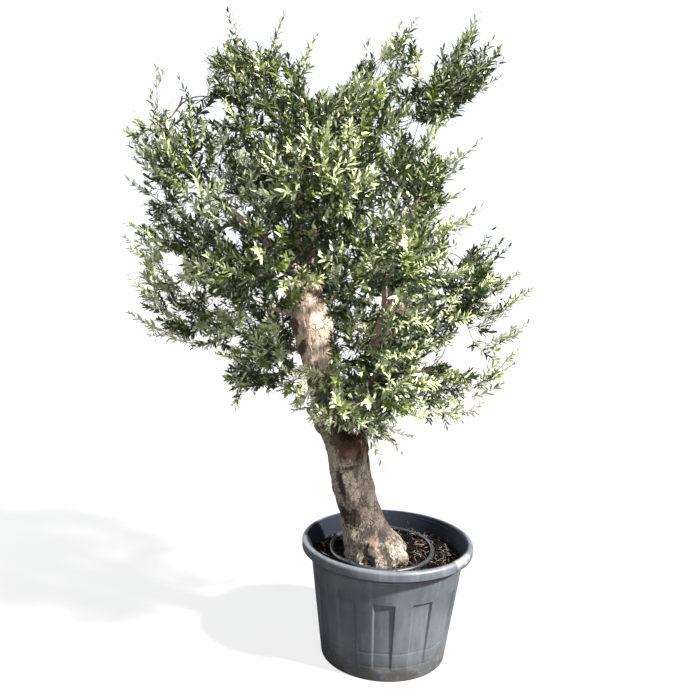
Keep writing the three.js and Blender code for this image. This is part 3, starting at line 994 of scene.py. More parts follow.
def makeCracks():        # thin dark cracks, drawn out along Z and broken up
    group, entry, leave = newGroup("cracks", Scale=40.0, Stretch=0.4, Width=0.06)
    bend = noiseOn(group, 35.0, 3.0).node.outputs["Color"]
    bent = vectorOn(group, "MULTIPLY_ADD", bend, (0.03, 0.03, 0.03), drawnOut(group, entry["Stretch"]))
    cells = addNode(group, "ShaderNodeTexVoronoi", {"feature": "DISTANCE_TO_EDGE"}, Vector=bent,
                    Scale=entry["Scale"]).outputs["Distance"]
    patches = mapRange(group, noiseOn(group, 24.0, 3.0, 0.7), 0.42, 0.58)
    feed(leave, multiply(group, mapRange(group, cells, 0.0, entry["Width"], 1.0, 0.0), patches))
    return group


def makeBlotch():        # a ragged patch: where it lies, its turn and its half sizes
    group, entry, leave = newGroup("blotch", Centre=(0, 0, 0), Turn=(0, 0, 0), Size=(1, 1, 1), Ragged=2.6)
    inside = addNode(group, "ShaderNodeMapping", {"vector_type": "TEXTURE"}, Vector=placeOn(group),
                     Location=entry["Centre"], Rotation=entry["Turn"], Scale=entry["Size"]).outputs["Vector"]
    reach = vectorOn(group, "LENGTH", inside, output="Value")
    rough = mathOn(group, "SUBTRACT", noiseOn(group, 70.0, 6.0, 0.8), 0.5)
    feed(leave, mapRange(group, mathOn(group, "MULTIPLY_ADD", rough, entry["Ragged"], reach), 1.0, 0.8))
    return group


cracks = makeCracks()
blotch = makeBlotch()

# stains, and patches of painted light and shade on the trunk and limb
stainsAndPaintedLight = [        # x, y, z; lean in degrees; half width and height; how strong; colour
    # painted light: a pale patch lifting the shaded upper left of the trunk
    ((-0.225, -0.09, 0.775), -12, (0.026, 0.085), 0.85, (0.34, 0.285, 0.225)),
    ((-0.150, -0.11, 0.650), -16, (0.036, 0.085), 0.6, (0.16, 0.138, 0.115)),
    # painted shade: the dark inside a bark cavity
    ((-0.182, -0.09, 0.672), -15, (0.014, 0.070), 0.9, (0.018, 0.010, 0.007)),
    ((-0.176, -0.09, 0.556), -18, (0.025, 0.055), 0.95, (0.026, 0.014, 0.009)),
    ((-0.128, -0.10, 0.552), -14, (0.026, 0.040), 0.9, (0.026, 0.015, 0.010)),
    ((-0.150, -0.11, 0.736), 78, (0.010, 0.044), 0.9, (0.022, 0.013, 0.009)),
    ((-0.110, -0.10, 0.770), 66, (0.009, 0.032), 0.8, (0.022, 0.013, 0.009)),
    # painted shade: these four darken the neck under the leaves and in its hollow
    ((-0.150, -0.09, 0.838), 84, (0.062, 0.095), 0.95, (0.060, 0.028, 0.014)),
    ((-0.150, -0.09, 0.868), 84, (0.040, 0.075), 1.0, (0.012, 0.006, 0.004)),
    ((-0.170, -0.09, 0.790), 20, (0.030, 0.022), 0.8, (0.060, 0.030, 0.018)),
    ((-0.100, -0.09, 0.800), -10, (0.022, 0.040), 0.8, (0.050, 0.026, 0.016)),
    ((-0.080, -0.11, 0.500), 60, (0.020, 0.042), 0.85, (0.030, 0.025, 0.021)),
    ((-0.022, -0.10, 0.492), 40, (0.024, 0.040), 0.85, (0.028, 0.023, 0.020)),
    ((-0.052, -0.12, 0.478), 0, (0.018, 0.022), 0.35, (0.26, 0.17, 0.135)),
    ((-0.085, -0.12, 0.440), -30, (0.032, 0.028), 0.8, (0.032, 0.026, 0.021)),
    ((-0.005, -0.13, 0.425), -25, (0.015, 0.044), 0.75, (0.032, 0.026, 0.021)),
    # the limb's reddish left side, darkened as painted shade
    ((-0.372, -0.05, 1.235), 0, (0.022, 0.036), 0.9, (0.06, 0.03, 0.018)),
    ((-0.345, -0.06, 1.150), 22, (0.018, 0.06), 0.9, (0.06, 0.03, 0.018)),
    ((-0.305, -0.06, 1.070), 22, (0.020, 0.060), 0.85, (0.09, 0.048, 0.03)),
]
limbHeights = (1.02, 1.12)        # the bark turns smooth and pale between these, and the limb is made paler still as painted sunlight


def makeBarkMaterial():
    material, tree, shader = newMaterial("oliveBark", 0.88, 0.25)
    axes = axesOf(tree, placeOn(tree))
    surface = rampOn(tree, noiseOn(tree, 13.0, 8.0, 0.7), (0.36, (0.031, 0.026, 0.021)),
                     (0.5, (0.041, 0.034, 0.0275)), (0.62, (0.057, 0.048, 0.039)))
    shadeLift = mapRange(tree, axesOf(tree, facingOf(tree))["X"], 0.2, -0.75, 0.0, 0.9)
    surface = mixColours(tree, shadeLift, surface, (0.40, 0.345, 0.275))        # painted light: paler on the side away from the sun, lifting its shade
    pale = rampOn(tree, axes["Z"], (0.37, 1.0), (0.44, 0.8), (0.49, 0.15), (0.8, 0.0), (0.999, 0.0))
    pale = multiply(tree, pale, mapRange(tree, noiseOn(tree, 19.0, 6.0, 0.65), 0.42, 0.55))
    surface = mixColours(tree, pale, surface, (0.42, 0.355, 0.31))
    # pale smooth limb bark, partly painted sunlight
    limb = multiply(tree, mapRange(tree, axes["Z"], *limbHeights, kind="SMOOTHSTEP"), 0.85)
    surface = mixColours(tree, limb, surface, (0.56, 0.44, 0.36))

    fibres = maskOf(tree, streaks, Scale=52.0, Stretch=0.14, Wander=0.9)
    leftward = mapRange(tree, axes["X"], -0.09, -0.20, 0.1)
    dark = multiply(tree, mapRange(tree, fibres, 0.57, 0.66, 0.0, 0.7), leftward)
    surface = mixColours(tree, dark, surface, (0.045, 0.028, 0.019))
    split = maskOf(tree, cracks, Scale=44.0, Stretch=0.7, Width=0.07)
    surface = mixColours(tree, multiply(tree, split, 0.9), surface, (0.016, 0.012, 0.010))

    zones = noiseOn(tree, 10.0, 4.0, 0.6)        # spots and dashes lie in zones, few on the limb
    calm = mapRange(tree, axes["Z"], *limbHeights, 1.0, 0.3)
    spots = maskOf(tree, speckle, Scale=150.0, Amount=0.47, Softness=0.03)
    dashes = mapRange(tree, maskOf(tree, streaks, Scale=140.0, Stretch=0.3, Wander=0.6), 0.55, 0.58)
    for marks, zone, colour in ((spots, (0.42, 0.56, 0.15, 0.7), (0.022, 0.017, 0.014)),
                                (dashes, (0.60, 0.44, 0.15, 0.65), (0.026, 0.020, 0.016))):
        shown = multiply(tree, multiply(tree, marks, mapRange(tree, zones, *zone)), calm)
        surface = mixColours(tree, shown, surface, colour)
    for centre, lean, (wide, high), strength, colour in stainsAndPaintedLight:
        mark = maskOf(tree, blotch, Centre=centre, Turn=(0, math.radians(lean), 0), Size=(wide, 0.05, high))
        surface = mixColours(tree, multiply(tree, mark, strength), surface, colour)
    folds = addNode(tree, "ShaderNodeNewGeometry").outputs["Pointiness"]        # darker in the creases
    creases = mapRange(tree, folds, 0.42, 0.5, 0.85, 0.0)
    setInputs(shader, Base_Color=mixColours(tree, creases, surface, (0.04, 0.024, 0.015)))
    fine = maskOf(tree, streaks, Scale=190.0, Stretch=0.45, Wander=0.6)
    addBump(shader, mathOn(tree, "SUBTRACT", fine, split), 0.9, 0.004)
    return material


settle(makeBark(bark), makeBarkMaterial(), "bark", *limbs["stems"], *sorted(boughs))
print("bark ready")

growth = {
    "seed": 21,
    "crownHeart": (-0.26, 0.0, 1.20),        # shoots turn away from here
    "flattened": 0.85,        # and less so upwards
    "outside": 2.5,        # further from any place than the crown's outside is
    "upward": 0.35,        # how much new wood turns up
    "limbSteps": (24, 10),        # points along a limb, and the first that bears runs
    "boughSteps": 14,
    "runStart": 0.8,        # share of the bearing wood's girth that a new run has
    "runOn": 0.95,        # and where it carries on from a bough's end
    "runGirth": (0.0035, 0.016),
    "runByLength": (0.003, 0.022),        # girth, and what each metre adds to it
    "runEnd": 0.0032,
    "runSteps": 12,
    "runWander": 0.008,
    "handles": (0.38, 0.34),        # how stiffly wood leaves and arrives, as shares of its length
    "branchSpacing": 0.105,        # between branch ends on a mass's outside
    "branchReach": (0.45, 0.9),        # share of the way from a mass's heart to its outside
    "branchScatter": 0.12,
    "branchGirth": (0.0014, 0.0046),
    "branchStart": 0.75,        # share of the bearing wood's girth
    "branchByLength": 0.014,        # girth that each metre adds
    "branchSteps": 7,
    "branchWander": 0.015,
    "branchShortest": 0.02,
    "clearance": 1.3,        # of branch ends from the gaps, on the scale on which 1 is a gap's edge
    "fillSpacing": 0.105,        # of the branch ends between the masses
    "fillDepth": (0.02, 0.42),
    "fillApart": 0.075,
    "fillByLength": 0.012,
    "shootFrom": 0.22,        # share of a branch below its first shoot
    "shootSpacing": 0.0155,
    "shootUneven": (0.75, 1.3),        # times that spacing
    "shootTurn": (140, 25),        # degrees round the branch from one to the next, and their spread
    "shootForward": (0.6, 1.0),
    "shootSideways": 0.85,
    "shootFade": 0.35,        # how much shorter they get along the branch
    "shootLength": (0.08, 0.17),
    "wandLength": (0.14, 0.27),        # the shoot that ends a branch
    "shortest": 0.04,
    "shootGirth": 0.0011,
    "stemPoints": {0: 1.0, 0.35: 0.85, 0.7: 0.65, 1.0: 0.4},        # share along: share of that girth
    "woodSides": {"branchRuns": 7, "branchTwigs": 4, "shootStems": 3},
    "overhang": 0.035,        # how far shoots may pass the mass
    "overhangUneven": (0.2, 1.6),
    "deepest": 0.24,        # below the crown's outside, few shoots grow
    "deepKeep": 0.4,
    "inwardDrop": 0.7,        # share dropped of the shoots that turn into the crown
    "turnOn": 0.55,        # which way shoots turn: on, out and up
    "turnOut": 0.62,
    "turnUp": 0.40,
    "scatter": 0.24,
    "leafFrom": 0.07,        # share of a shoot below its first leaves
    "leafSpacing": 0.0086,
    "wandSpacing": 1.8,        # times that along a long wand
    "leafLength": (0.023, 0.038),
    "leafWidth": (0.23, 0.32),        # share of its length
    "leafOutline": ((0.0, 0.0), (0.3, 0.48), (0.68, 0.43), (1.0, 0.0)),        # share along and half width
    "leafArch": 0.09,
    "leafDroop": 0.05,
    "leafAngle": (56, 32),        # from the shoot, at its foot and at its tip
    "leafSlip": 0.012,        # spread of the leaves' places, turns and angles
    "leafTurn": 0.25,
    "leafSwing": 0.16,
    "leafTumble": 0.3,
    "leafUp": 0.45,        # how much their faces turn to the sky
    "tipFrom": 0.7,        # past this share of a shoot its leaves get smaller
    "tipShrink": 0.35,
    "sprayUneven": (0.85, 1.15),
    "innerFrom": 0.16,        # depth at which leaves are as deep in tone as they get, as painted shade
    "innerTones": (3.6, 1.2, -0.4, -0.65),        # change in each tone's share there: darker tones as painted shade
    "oddTones": 0.22,        # share of a spray's leaves that are of any tone
    "innerBacks": 0.9,        # share of the innermost sprays with shaded backs
    "proud": 0.035,        # furthest that a leaf reaches out of the CAD box
    "backing": 0.0004,        # between a leaf's two faces
    "ragged": 0.9,        # how uneven the edges of the gaps are
    "raggedScale": 22,
    "gapEdge": (0.7, 1.3),
    "windowEdge": (0.6, 1.1),
    "gaps": [        # sky seen through the crown from the front, on y = 0: x, z, half width, half height
        (-0.755, 1.613, 0.02, 0.02), (-0.47, 1.537, 0.018, 0.028), (-0.594, 1.532, 0.03, 0.02),
        (-0.81, 1.445, 0.04, 0.045), (-0.75, 1.347, 0.035, 0.022), (-0.644, 1.315, 0.025, 0.018),
        (-0.138, 1.371, 0.02, 0.028), (-0.057, 1.328, 0.028, 0.028), (-0.079, 1.185, 0.022, 0.028),
        (-0.28, 2.15, 0.045, 0.1), (-0.11, 2.13, 0.02, 0.03), (-0.02, 2.10, 0.02, 0.04),
        (-0.44, 2.08, 0.015, 0.03), (0.24, 2.0, 0.05, 0.025), (0.02, 1.94, 0.045, 0.03),
        (0.235, 1.135, 0.065, 0.05), (0.26, 1.235, 0.03, 0.03), (-0.055, 2.17, 0.015, 0.02),
        (-0.01, 2.21, 0.014, 0.02), (-0.86, 2.0, 0.035, 0.045), (0.33, 1.36, 0.03, 0.025),
        (0.19, 1.50, 0.03, 0.02),
    ],
    "windows": [        # bare in front of the main limb and of the trunk's neck only
        (-0.312, 1.245, 0.066, 0.135), (-0.165, 0.80, 0.095, 0.066),
    ],
    "windowFront": -0.03,        # leaves are kept behind this y
    "neckFront": -0.07,        # and wood behind this one
    "shadeFront": -0.1,        # in front of this y, leaves may shade the bare limb
    "shadeWay": -0.08,        # y of the shaded bark
    "shadeMargin": 1.1,
    "shadeKeep": -0.22,        # lower keeps fewer of them
    "shadeScale": 35,
    "thin": [(0.18, 2.12, 0.13, 0.14), (-0.86, 1.98, 0.09, 0.10)],        # half of the shoots kept
    "edgeKeep": 0.45,        # share of the shoots kept close to the crown's edge
    "edgeReach": 0.04,
    "outline": [        # the crown's edge as seen from the front: x, z on y = 0
        (-0.26, 0.85), (-0.34, 0.93), (-0.41, 0.96), (-0.49, 1.00), (-0.57, 0.98), (-0.62, 1.02),
        (-0.61, 1.08), (-0.67, 1.12), (-0.75, 1.16), (-0.83, 1.20), (-0.90, 1.25), (-0.94, 1.30),
        (-0.96, 1.38), (-0.93, 1.44), (-0.95, 1.55), (-0.91, 1.58), (-0.93, 1.64), (-0.94, 1.71),
        (-0.98, 1.83), (-1.00, 1.90), (-0.95, 1.94), (-0.90, 1.92), (-0.86, 1.94), (-0.81, 1.99),
        (-0.77, 2.04), (-0.73, 1.98), (-0.68, 1.95), (-0.65, 1.94), (-0.63, 1.99), (-0.70, 2.08),
        (-0.72, 2.15), (-0.68, 2.19), (-0.60, 2.21), (-0.51, 2.19), (-0.47, 2.22), (-0.42, 2.19),
        (-0.38, 2.14), (-0.34, 2.05), (-0.27, 2.04), (-0.22, 2.08), (-0.15, 2.16), (-0.12, 2.21),
        (-0.07, 2.22), (-0.05, 2.27), (0.0, 2.29), (0.02, 2.24), (0.03, 2.18), (0.05, 2.11), (0.10, 2.16),
        (0.15, 2.23), (0.23, 2.30), (0.25, 2.25), (0.31, 2.19), (0.28, 2.12), (0.20, 2.05), (0.15, 2.00),
        (0.12, 1.91), (0.08, 1.89), (0.12, 1.84), (0.16, 1.80), (0.13, 1.74), (0.16, 1.68), (0.13, 1.65),
        (0.18, 1.61), (0.16, 1.56), (0.19, 1.53), (0.27, 1.54), (0.32, 1.55), (0.32, 1.49), (0.36, 1.41),
        (0.35, 1.35), (0.37, 1.31), (0.33, 1.26), (0.39, 1.23), (0.40, 1.18), (0.36, 1.12), (0.31, 1.09),
        (0.30, 1.04), (0.25, 1.01), (0.26, 0.98), (0.20, 0.94), (0.12, 0.91), (0.02, 0.92), (-0.02, 0.87),
        (-0.05, 0.78), (-0.15, 0.78),
    ],
    "frontWander": 0.01,        # of sprigs and sprays
    "frontSteer": 0.3,
    "sprigWay": (0.1, -0.5, 0.6),
    "sprigGirths": (0.002, 0.0012),
    "sprigGrowth": {"deepest": 1.0, "shootSpacing": 0.014},
    "sprigs": [        # tips of the bright ends that face the front
        (-0.36, -0.46, 1.66), (-0.30, -0.40, 1.55), (-0.20, -0.42, 1.62), (-0.1, -0.45, 1.5),
        (-0.86, -0.1, 1.97), (-0.9, -0.1, 1.9), (-0.2, -0.42, 1.03), (-0.13, -0.4, 0.95),
        (0.05, -0.42, 1.1), (-0.22, -0.4, 1.42), (-0.40, -0.38, 1.46), (-0.46, -0.36, 1.36),
        (-0.17, -0.38, 1.3), (-0.1, -0.42, 1.2), (-0.25, -0.34, 0.98), (-0.03, -0.4, 0.95),
        (-0.36, -0.32, 1.02), (-0.28, -0.44, 1.72), (-0.15, -0.45, 1.70), (-0.42, -0.42, 1.58),
        (-0.23, -0.45, 1.50), (-0.05, -0.43, 1.60), (-0.33, -0.42, 1.42), (-0.12, -0.44, 1.38),
        (-0.50, -0.40, 1.70), (-0.02, -0.42, 1.45), (-0.38, -0.43, 1.78),
    ],
    "sprayGirths": (0.0022, 0.0012),
    "sprayGrowth": {"deepest": 1.0, "deepKeep": 1.0, "overhang": 0.12},
    "coverDepth": (-0.24, -0.15),
    "cover": [        # sprays on the front of the limbs: x, z on y = 0
        (-0.37, 1.40), (-0.31, 1.41), (-0.25, 1.40), (-0.19, 1.40), (-0.41, 1.47), (-0.34, 1.47),
        (-0.28, 1.48), (-0.22, 1.48), (-0.14, 1.47), (-0.38, 1.55), (-0.31, 1.56), (-0.24, 1.56),
        (-0.17, 1.56), (-0.34, 1.64), (-0.27, 1.64), (-0.20, 1.65), (-0.20, 1.33), (-0.20, 1.25),
        (-0.21, 1.17), (-0.21, 1.10), (-0.13, 1.40), (-0.11, 1.26), (-0.13, 1.18), (-0.12, 1.10),
        (-0.22, 1.05), (-0.23, 1.00), (-0.23, 0.95), (-0.21, 0.90), (-0.17, 1.04), (-0.16, 0.99),
        (-0.16, 0.94), (-0.16, 0.89), (-0.28, 1.04), (-0.28, 0.98), (-0.27, 0.92), (-0.10, 1.02),
        (-0.09, 0.95), (-0.10, 0.88), (-0.03, 1.05), (-0.03, 0.97), (-0.04, 1.15), (0.03, 1.15),
        (-0.04, 1.24), (0.04, 1.24), (0.02, 1.33), (-0.17, 0.86), (-0.12, 0.84), (-0.42, 1.30),
        (-0.43, 1.22), (-0.42, 1.12), (-0.39, 1.04), (-0.36, 0.98), (-0.05, 1.42), (0.03, 1.42),
        (-0.02, 0.85), (0.02, 0.81), (-0.06, 0.83), (-0.09, 0.87), (-0.71, 1.64), (-0.67, 1.60),
        (-0.66, 1.68), (-0.74, 1.42), (-0.72, 1.38), (0.13, 1.22), (0.17, 1.19), (-0.62, 1.22),
        (-0.57, 1.26), (-0.05, 1.28), (-0.05, 1.20),
    ],
    "infillDepth": (-0.1, 0.06),
    "infill": [        # sprays in the thin places between the masses
        (-0.79, 1.96), (-0.74, 2.00), (-0.70, 2.03), (0.02, 1.67), (0.025, 1.60), (0.06, 2.03),
        (0.11, 2.03), (0.08, 1.97), (0.13, 2.07), (0.04, 2.08), (0.17, 2.10), (-0.90, 1.38), (-0.88, 1.33),
        (-0.84, 1.37), (-0.80, 1.36), (-0.86, 1.70), (-0.82, 1.66), (0.20, 1.36), (0.22, 1.30),
        (0.17, 1.26), (0.29, 1.20), (0.34, 1.20), (-0.48, 1.93), (-0.54, 1.90), (-0.60, 1.86),
        (-0.26, 1.38), (-0.245, 1.35), (-0.275, 1.40), (-0.24, 1.31), (-0.235, 1.27), (0.15, 1.55),
        (0.16, 1.60), (0.17, 1.51), (0.02, 2.04), (0.0, 2.0), (-0.78, 1.97), (-0.745, 2.01), (-0.71, 2.02),
        (-0.82, 1.94), (0.02, 1.68), (0.025, 1.63), (0.02, 1.59),
    ],
    "leaderDepth": (-0.12, 0.1),
    "leaderReach": 0.24,        # of the straight part
    "leaderSteps": 12,
    "leaderWander": 0.003,
    "leaderGirths": (0.003, 0.0007),
    "leaderLeafy": 5,        # the point from which leaves sit on the wand itself
    "sideShoots": (2, 9),        # the points that may bear a short shoot
    "sideKeep": 0.55,
    "sideLength": (0.05, 0.11),
    "sideSpacing": 1.3,
    "leaders": [        # tips of the long wands that stand out of the crown, and their lean in degrees
        (-0.62, 2.31, 104), (-0.44, 2.31, 67), (-0.32, 2.25, 65), (-0.70, 2.17, 115), (-0.38, 2.18, 75),
        (0.0, 2.32, 65), (-0.04, 2.30, 70), (0.02, 2.27, 45), (-0.16, 2.24, 85), (-0.08, 2.26, 70),
        (0.23, 2.33, 62), (0.27, 2.27, 55), (0.30, 2.21, 45), (0.33, 2.18, 36), (0.32, 2.13, 30),
        (0.26, 2.12, 35), (0.22, 2.26, 60), (0.20, 2.14, 45), (0.14, 2.10, 45), (0.22, 2.06, 25),
        (0.10, 2.08, 60), (0.13, 2.02, 20), (0.26, 1.92, 47), (0.21, 1.87, 42), (0.21, 1.74, 33),
        (0.29, 1.68, 32), (0.23, 1.64, 30), (0.37, 1.58, 52), (0.39, 1.55, 45), (0.34, 1.60, 60),
        (0.42, 1.47, 42), (0.47, 1.41, 40), (0.47, 1.29, 45), (0.45, 1.20, 48), (0.43, 1.13, 50),
        (0.40, 1.06, 45), (0.34, 0.99, 38), (0.27, 0.93, 10), (0.20, 0.87, -75), (0.09, 0.83, -10),
        (0.04, 0.77, -50), (-0.01, 0.73, -65), (-0.98, 1.74, 150), (-1.00, 1.93, 125), (-0.97, 1.86, 140),
        (-0.99, 1.53, 140), (-0.98, 1.59, 150), (-0.97, 1.40, 135), (-0.97, 1.27, 148), (-0.91, 1.22, 150),
        (-0.88, 2.14, 92), (-0.84, 2.10, 75), (-0.90, 2.04, 100), (-0.79, 2.09, 115), (-0.94, 1.97, 110),
        (-0.60, 0.93, 235), (-0.57, 0.91, 265), (-0.38, 0.91, 200), (-0.47, 0.97, 210), (-0.75, 1.13, 200),
        (-0.27, 2.10, 80),
    ],
}


def readMasses():        # each mass's surface, area and heart, then the points and surface of them all
    found, points, faces = {}, [], []
    for node in sorted(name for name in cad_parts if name.startswith("Foliage")):
        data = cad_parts[node].data
        solid = bmesh.new()
        solid.from_mesh(data)
        bmesh.ops.remove_doubles(solid, verts=solid.verts, dist=0.0001)
        found[node] = {"tree": BVHTree.FromBMesh(solid), "heart": sum(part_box(node), Vector()) / 2,
                       "area": sum(face.calc_area() for face in solid.faces)}
        solid.free()
        start = len(points)
        points += [vertex.co.copy() for vertex in data.vertices]
        faces += [[start + index for index in polygon.vertices] for polygon in data.polygons]
    return found, points, BVHTree.FromPolygons(points, faces)


masses, crownPoints, crownTree = readMasses()
sunWay = keyWay(studio)
eye = Vector(studio["cameraPlace"])


def outwardFrom(place):
    away = place - Vector(growth["crownHeart"])
    away.z *= growth["flattened"]
    return away.normalized()


def depthBelow(place):        # how far a place lies inside the crown's outside
    away = outwardFrom(place)
    hit = crownTree.ray_cast(place + away * growth["outside"], -away, growth["outside"] + 1.5)[0]
    return (hit - place).dot(away) if hit else -0.1


def frontView(place):        # where a place is seen on y = 0 from the front
    return eye + (place - eye) * (-eye.y / (place.y - eye.y))


def seenAt(x, z, y):        # the place at depth y that shows there on y = 0
    return eye + (at(x, z) - eye) * ((y - eye.y) / -eye.y)


def ovalShare(across, up, oval):        # below 1 inside an oval: x, z, half width, half height
    x, z, wide, high = oval
    return ((across - x) / wide) ** 2 + ((up - z) / high) ** 2


def insideEdge(seen):        # by the crossings of the crown's outline to the right
    edge = growth["outline"]
    inside = False
    for (x1, z1), (x2, z2) in zip(edge, edge[1:] + edge[:1]):
        if (z1 > seen.z) != (z2 > seen.z) and seen.x < x1 + (seen.z - z1) * (x2 - x1) / (z2 - z1):
            inside = not inside
    return inside


def kept(place, margin=1.0):        # false in the crown's gaps
    seen = frontView(place)
    if not insideEdge(seen):
        return False
    margin *= 1 + growth["ragged"] * noise.noise(place * growth["raggedScale"])
    bare = growth["gaps"] + (growth["windows"] if place.y < growth["windowFront"] else [])
    if any(ovalShare(seen.x, seen.z, oval) < margin for oval in bare):
        return False
    shone = place - sunWay * ((place.y - growth["shadeWay"]) / sunWay.y)        # where its shadow falls
    shade = ovalShare(shone.x, shone.z, growth["windows"][0])
    if place.y < growth["shadeFront"] and shade < growth["shadeMargin"]:
        return noise.noise(place * growth["shadeScale"]) < growth["shadeKeep"]
    return True


def crossesNeck(points):        # wood that would pass in front of the trunk's neck
    views = [frontView(point) for point in points if point.y < growth["neckFront"]]
    return any(ovalShare(view.x, view.z, growth["windows"][1]) < 1 for view in views)


def strays(points):        # wood that would do that, or bare wood outside the crown's edge
    return crossesNeck(points) or not all(insideEdge(frontView(point)) for point in points[1:-1])


def jitter(chance, size):
    return Vector([chance.gauss(0, size) for axis in range(3)])


def curveBetween(start, leaving, end, arriving, steps, chance, wander):
    reach = (end - start).length
    first = start + leaving.normalized() * reach * growth["handles"][0]
    second = end - arriving.normalized() * reach * growth["handles"][1]
    points = []
    for step in range(steps + 1):
        t = step / steps
        point = (start * (1 - t) ** 3 + first * 3 * t * (1 - t) ** 2
                 + second * 3 * t * t * (1 - t) + end * t ** 3)
        points.append(point + jitter(chance, wander * reach * math.sin(math.pi * t)))
    return points


class Run:        # one length of wood: its points, its girths and the way it points at each
    def __init__(self, points, girths):
        self.points = [Vector(point) for point in points]
        self.girths = [float(girth) for girth in girths]
        last = len(self.points) - 1
        self.ways = [(self.points[min(index + 1, last)] - self.points[max(index - 1, 0)]).normalized()
                     for index in range(last + 1)]


def taper(points, first, last):
    return Run(points, numpy.linspace(first, last, len(points)))


def bestBearer(runs, target, minShare=0.0, steer=0.7):        # where new wood would leave for the target
    best = None
    for run in runs:
        for index in range(int(minShare * len(run.points)), len(run.points)):
            gap = target - run.points[index]
            cost = gap.length * (1 + steer * (1 - run.ways[index].dot(gap.normalized())))
            if best is None or cost < best[0]:
                best = (cost, run, index)
    return best


def growRuns(values, chance):        # one run of wood to the heart of each mass
    wood = []
    steps, bare = values["limbSteps"]
    for node in limbs["stems"][1:]:
        centres, sizes = resample(*stems[node], steps)
        wood.append(Run(centres[bare:], sizes[bare:] * 0.5))
    steps = values["boughSteps"]
    for middles, girths in boughs.values():
        centres, sizes = resample(middles, girths, steps)
        wood.append(Run(centres, sizes * numpy.linspace(1.0, limbs["boughEnd"], steps)))
    made = {}
    waiting = set(masses)
    low, high = values["runGirth"]
    least, byLength = values["runByLength"]
    while waiting:
        offers = [(*bestBearer(wood, masses[node]["heart"]), node) for node in sorted(waiting)]
        cost, run, index, node = min(offers, key=lambda offer: offer[0])
        heart, start = masses[node]["heart"], run.points[index]
        arriving = (heart - start).normalized() + outwardFrom(heart) * 0.5 + at(0, values["upward"])
        points = curveBetween(start, run.ways[index], heart, arriving, values["runSteps"], chance,
                              values["runWander"])
        first = min(run.girths[index] * values["runStart"], max(low, min(high, least + byLength * cost)))
        if index >= len(run.points) - 2:        # carries on where a bough ends
            first = run.girths[index] * values["runOn"]
        made[node] = taper(points, first, values["runEnd"])
        wood.append(made[node])
        waiting.remove(node)
    return made


def branchTo(spot, arriving, wood, minShare, byLength, values, chance):        # none where it would stray
    bearer, index = bestBearer(wood, spot, minShare, 0.5)[1:]
    begin = bearer.points[index]
    reach = (spot - begin).length
    if reach < values["branchShortest"]:
        return None
    points = curveBetween(begin, bearer.ways[index] + (spot - begin).normalized(), spot, arriving,
                          values["branchSteps"], chance, values["branchWander"])
    if strays(points):
        return None
    low, high = values["branchGirth"]
    first = min(bearer.girths[index] * values["branchStart"], high, low + byLength * reach)
    return taper(points, max(low, first), low)


def spotsThrough(mass, values, chance):        # spread through a mass, the innermost first
    heart = mass["heart"]
    count = max(6, round(mass["area"] / values["branchSpacing"] ** 2))
    spots = []
    start = chance.uniform(0, math.tau)
    for index in range(count):
        height = 1 - 2 * (index + 0.5) / count
        bearing = start + index * math.pi * (3 - math.sqrt(5))
        level = math.sqrt(1 - height * height)
        way = Vector((math.cos(bearing) * level, math.sin(bearing) * level, height))
        way = (way + jitter(chance, values["branchScatter"])).normalized()
        hit = mass["tree"].ray_cast(heart, way, 2.0)[0]
        if hit is not None:
            spots.append((heart + way * (hit - heart).length * chance.uniform(*values["branchReach"]), way))
    return sorted(spots, key=lambda spot: (spot[0] - heart).length)


def growBranches(node, run, values, chance):        # from the run to spots spread through the mass
    branches = []
    for spot, way in spotsThrough(masses[node], values, chance):
        if depthBelow(spot) > values["deepest"] * 1.5 and chance.random() > values["deepKeep"]:
            continue
        if kept(spot, values["clearance"]):
            arriving = way * 0.8 + outwardFrom(spot) * 0.6 + at(0, 0.3)
            branch = branchTo(spot, arriving, [run] + branches, 0.3, values["branchByLength"], values, chance)
            if branch:
                branches.append(branch)
    return branches


def growFill(branches, values, chance):        # branches to the hollow places between the masses
    low, high = (Vector([pick(point[axis] for point in crownPoints) for axis in range(3)])
                 for pick in (min, max))
    spots = []
    gap = values["fillSpacing"]
    nearest, deepest = values["fillDepth"]
    for corner in itertools.product(*(numpy.arange(low[axis], high[axis], gap) for axis in range(3))):
        spot = Vector(corner) + Vector([chance.uniform(0, gap) for axis in range(3)])
        if nearest < depthBelow(spot) < deepest and kept(spot, values["clearance"]):
            spots.append(spot)
    chance.shuffle(spots)
    tips = [branch.points[-1] for branch in branches]
    made = []
    for spot in spots:
        if min((spot - tip).length for tip in tips) < values["fillApart"]:
            continue
        arriving = outwardFrom(spot) + at(0, values["upward"])
        branch = branchTo(spot, arriving, branches, 0.2, values["fillByLength"], values, chance)
        if branch:
            made.append(branch)
            tips.append(spot)
    return made


def shootPlaces(branch, values, chance):        # where shoots leave a branch, which way, how much shorter
    lengths = [(second - first).length for first, second in zip(branch.points, branch.points[1:])]
    total = sum(lengths)
    travelled = total * values["shootFrom"] + chance.uniform(0, 0.02)
    turn = chance.uniform(0, math.tau)
    places = []
    while travelled < total:
        places.append(travelled)
        travelled += values["shootSpacing"] * chance.uniform(*values["shootUneven"])
    found = []
    for travelled in places:
        index, left = 0, travelled
        while left > lengths[index] and index < len(lengths) - 1:
            left -= lengths[index]
            index += 1
        way = branch.ways[index]
        turn += math.radians(chance.gauss(*values["shootTurn"]))
        side = way.orthogonal().normalized()
        side.rotate(Matrix.Rotation(turn, 3, way))
        leaving = way * chance.uniform(*values["shootForward"]) + side * values["shootSideways"]
        start = branch.points[index].lerp(branch.points[index + 1], left / lengths[index])
        found.append((start, leaving.normalized(), 1 - values["shootFade"] * travelled / total))
    return found + [(branch.points[-1], branch.ways[-1], 0)]        # and the wand at its end


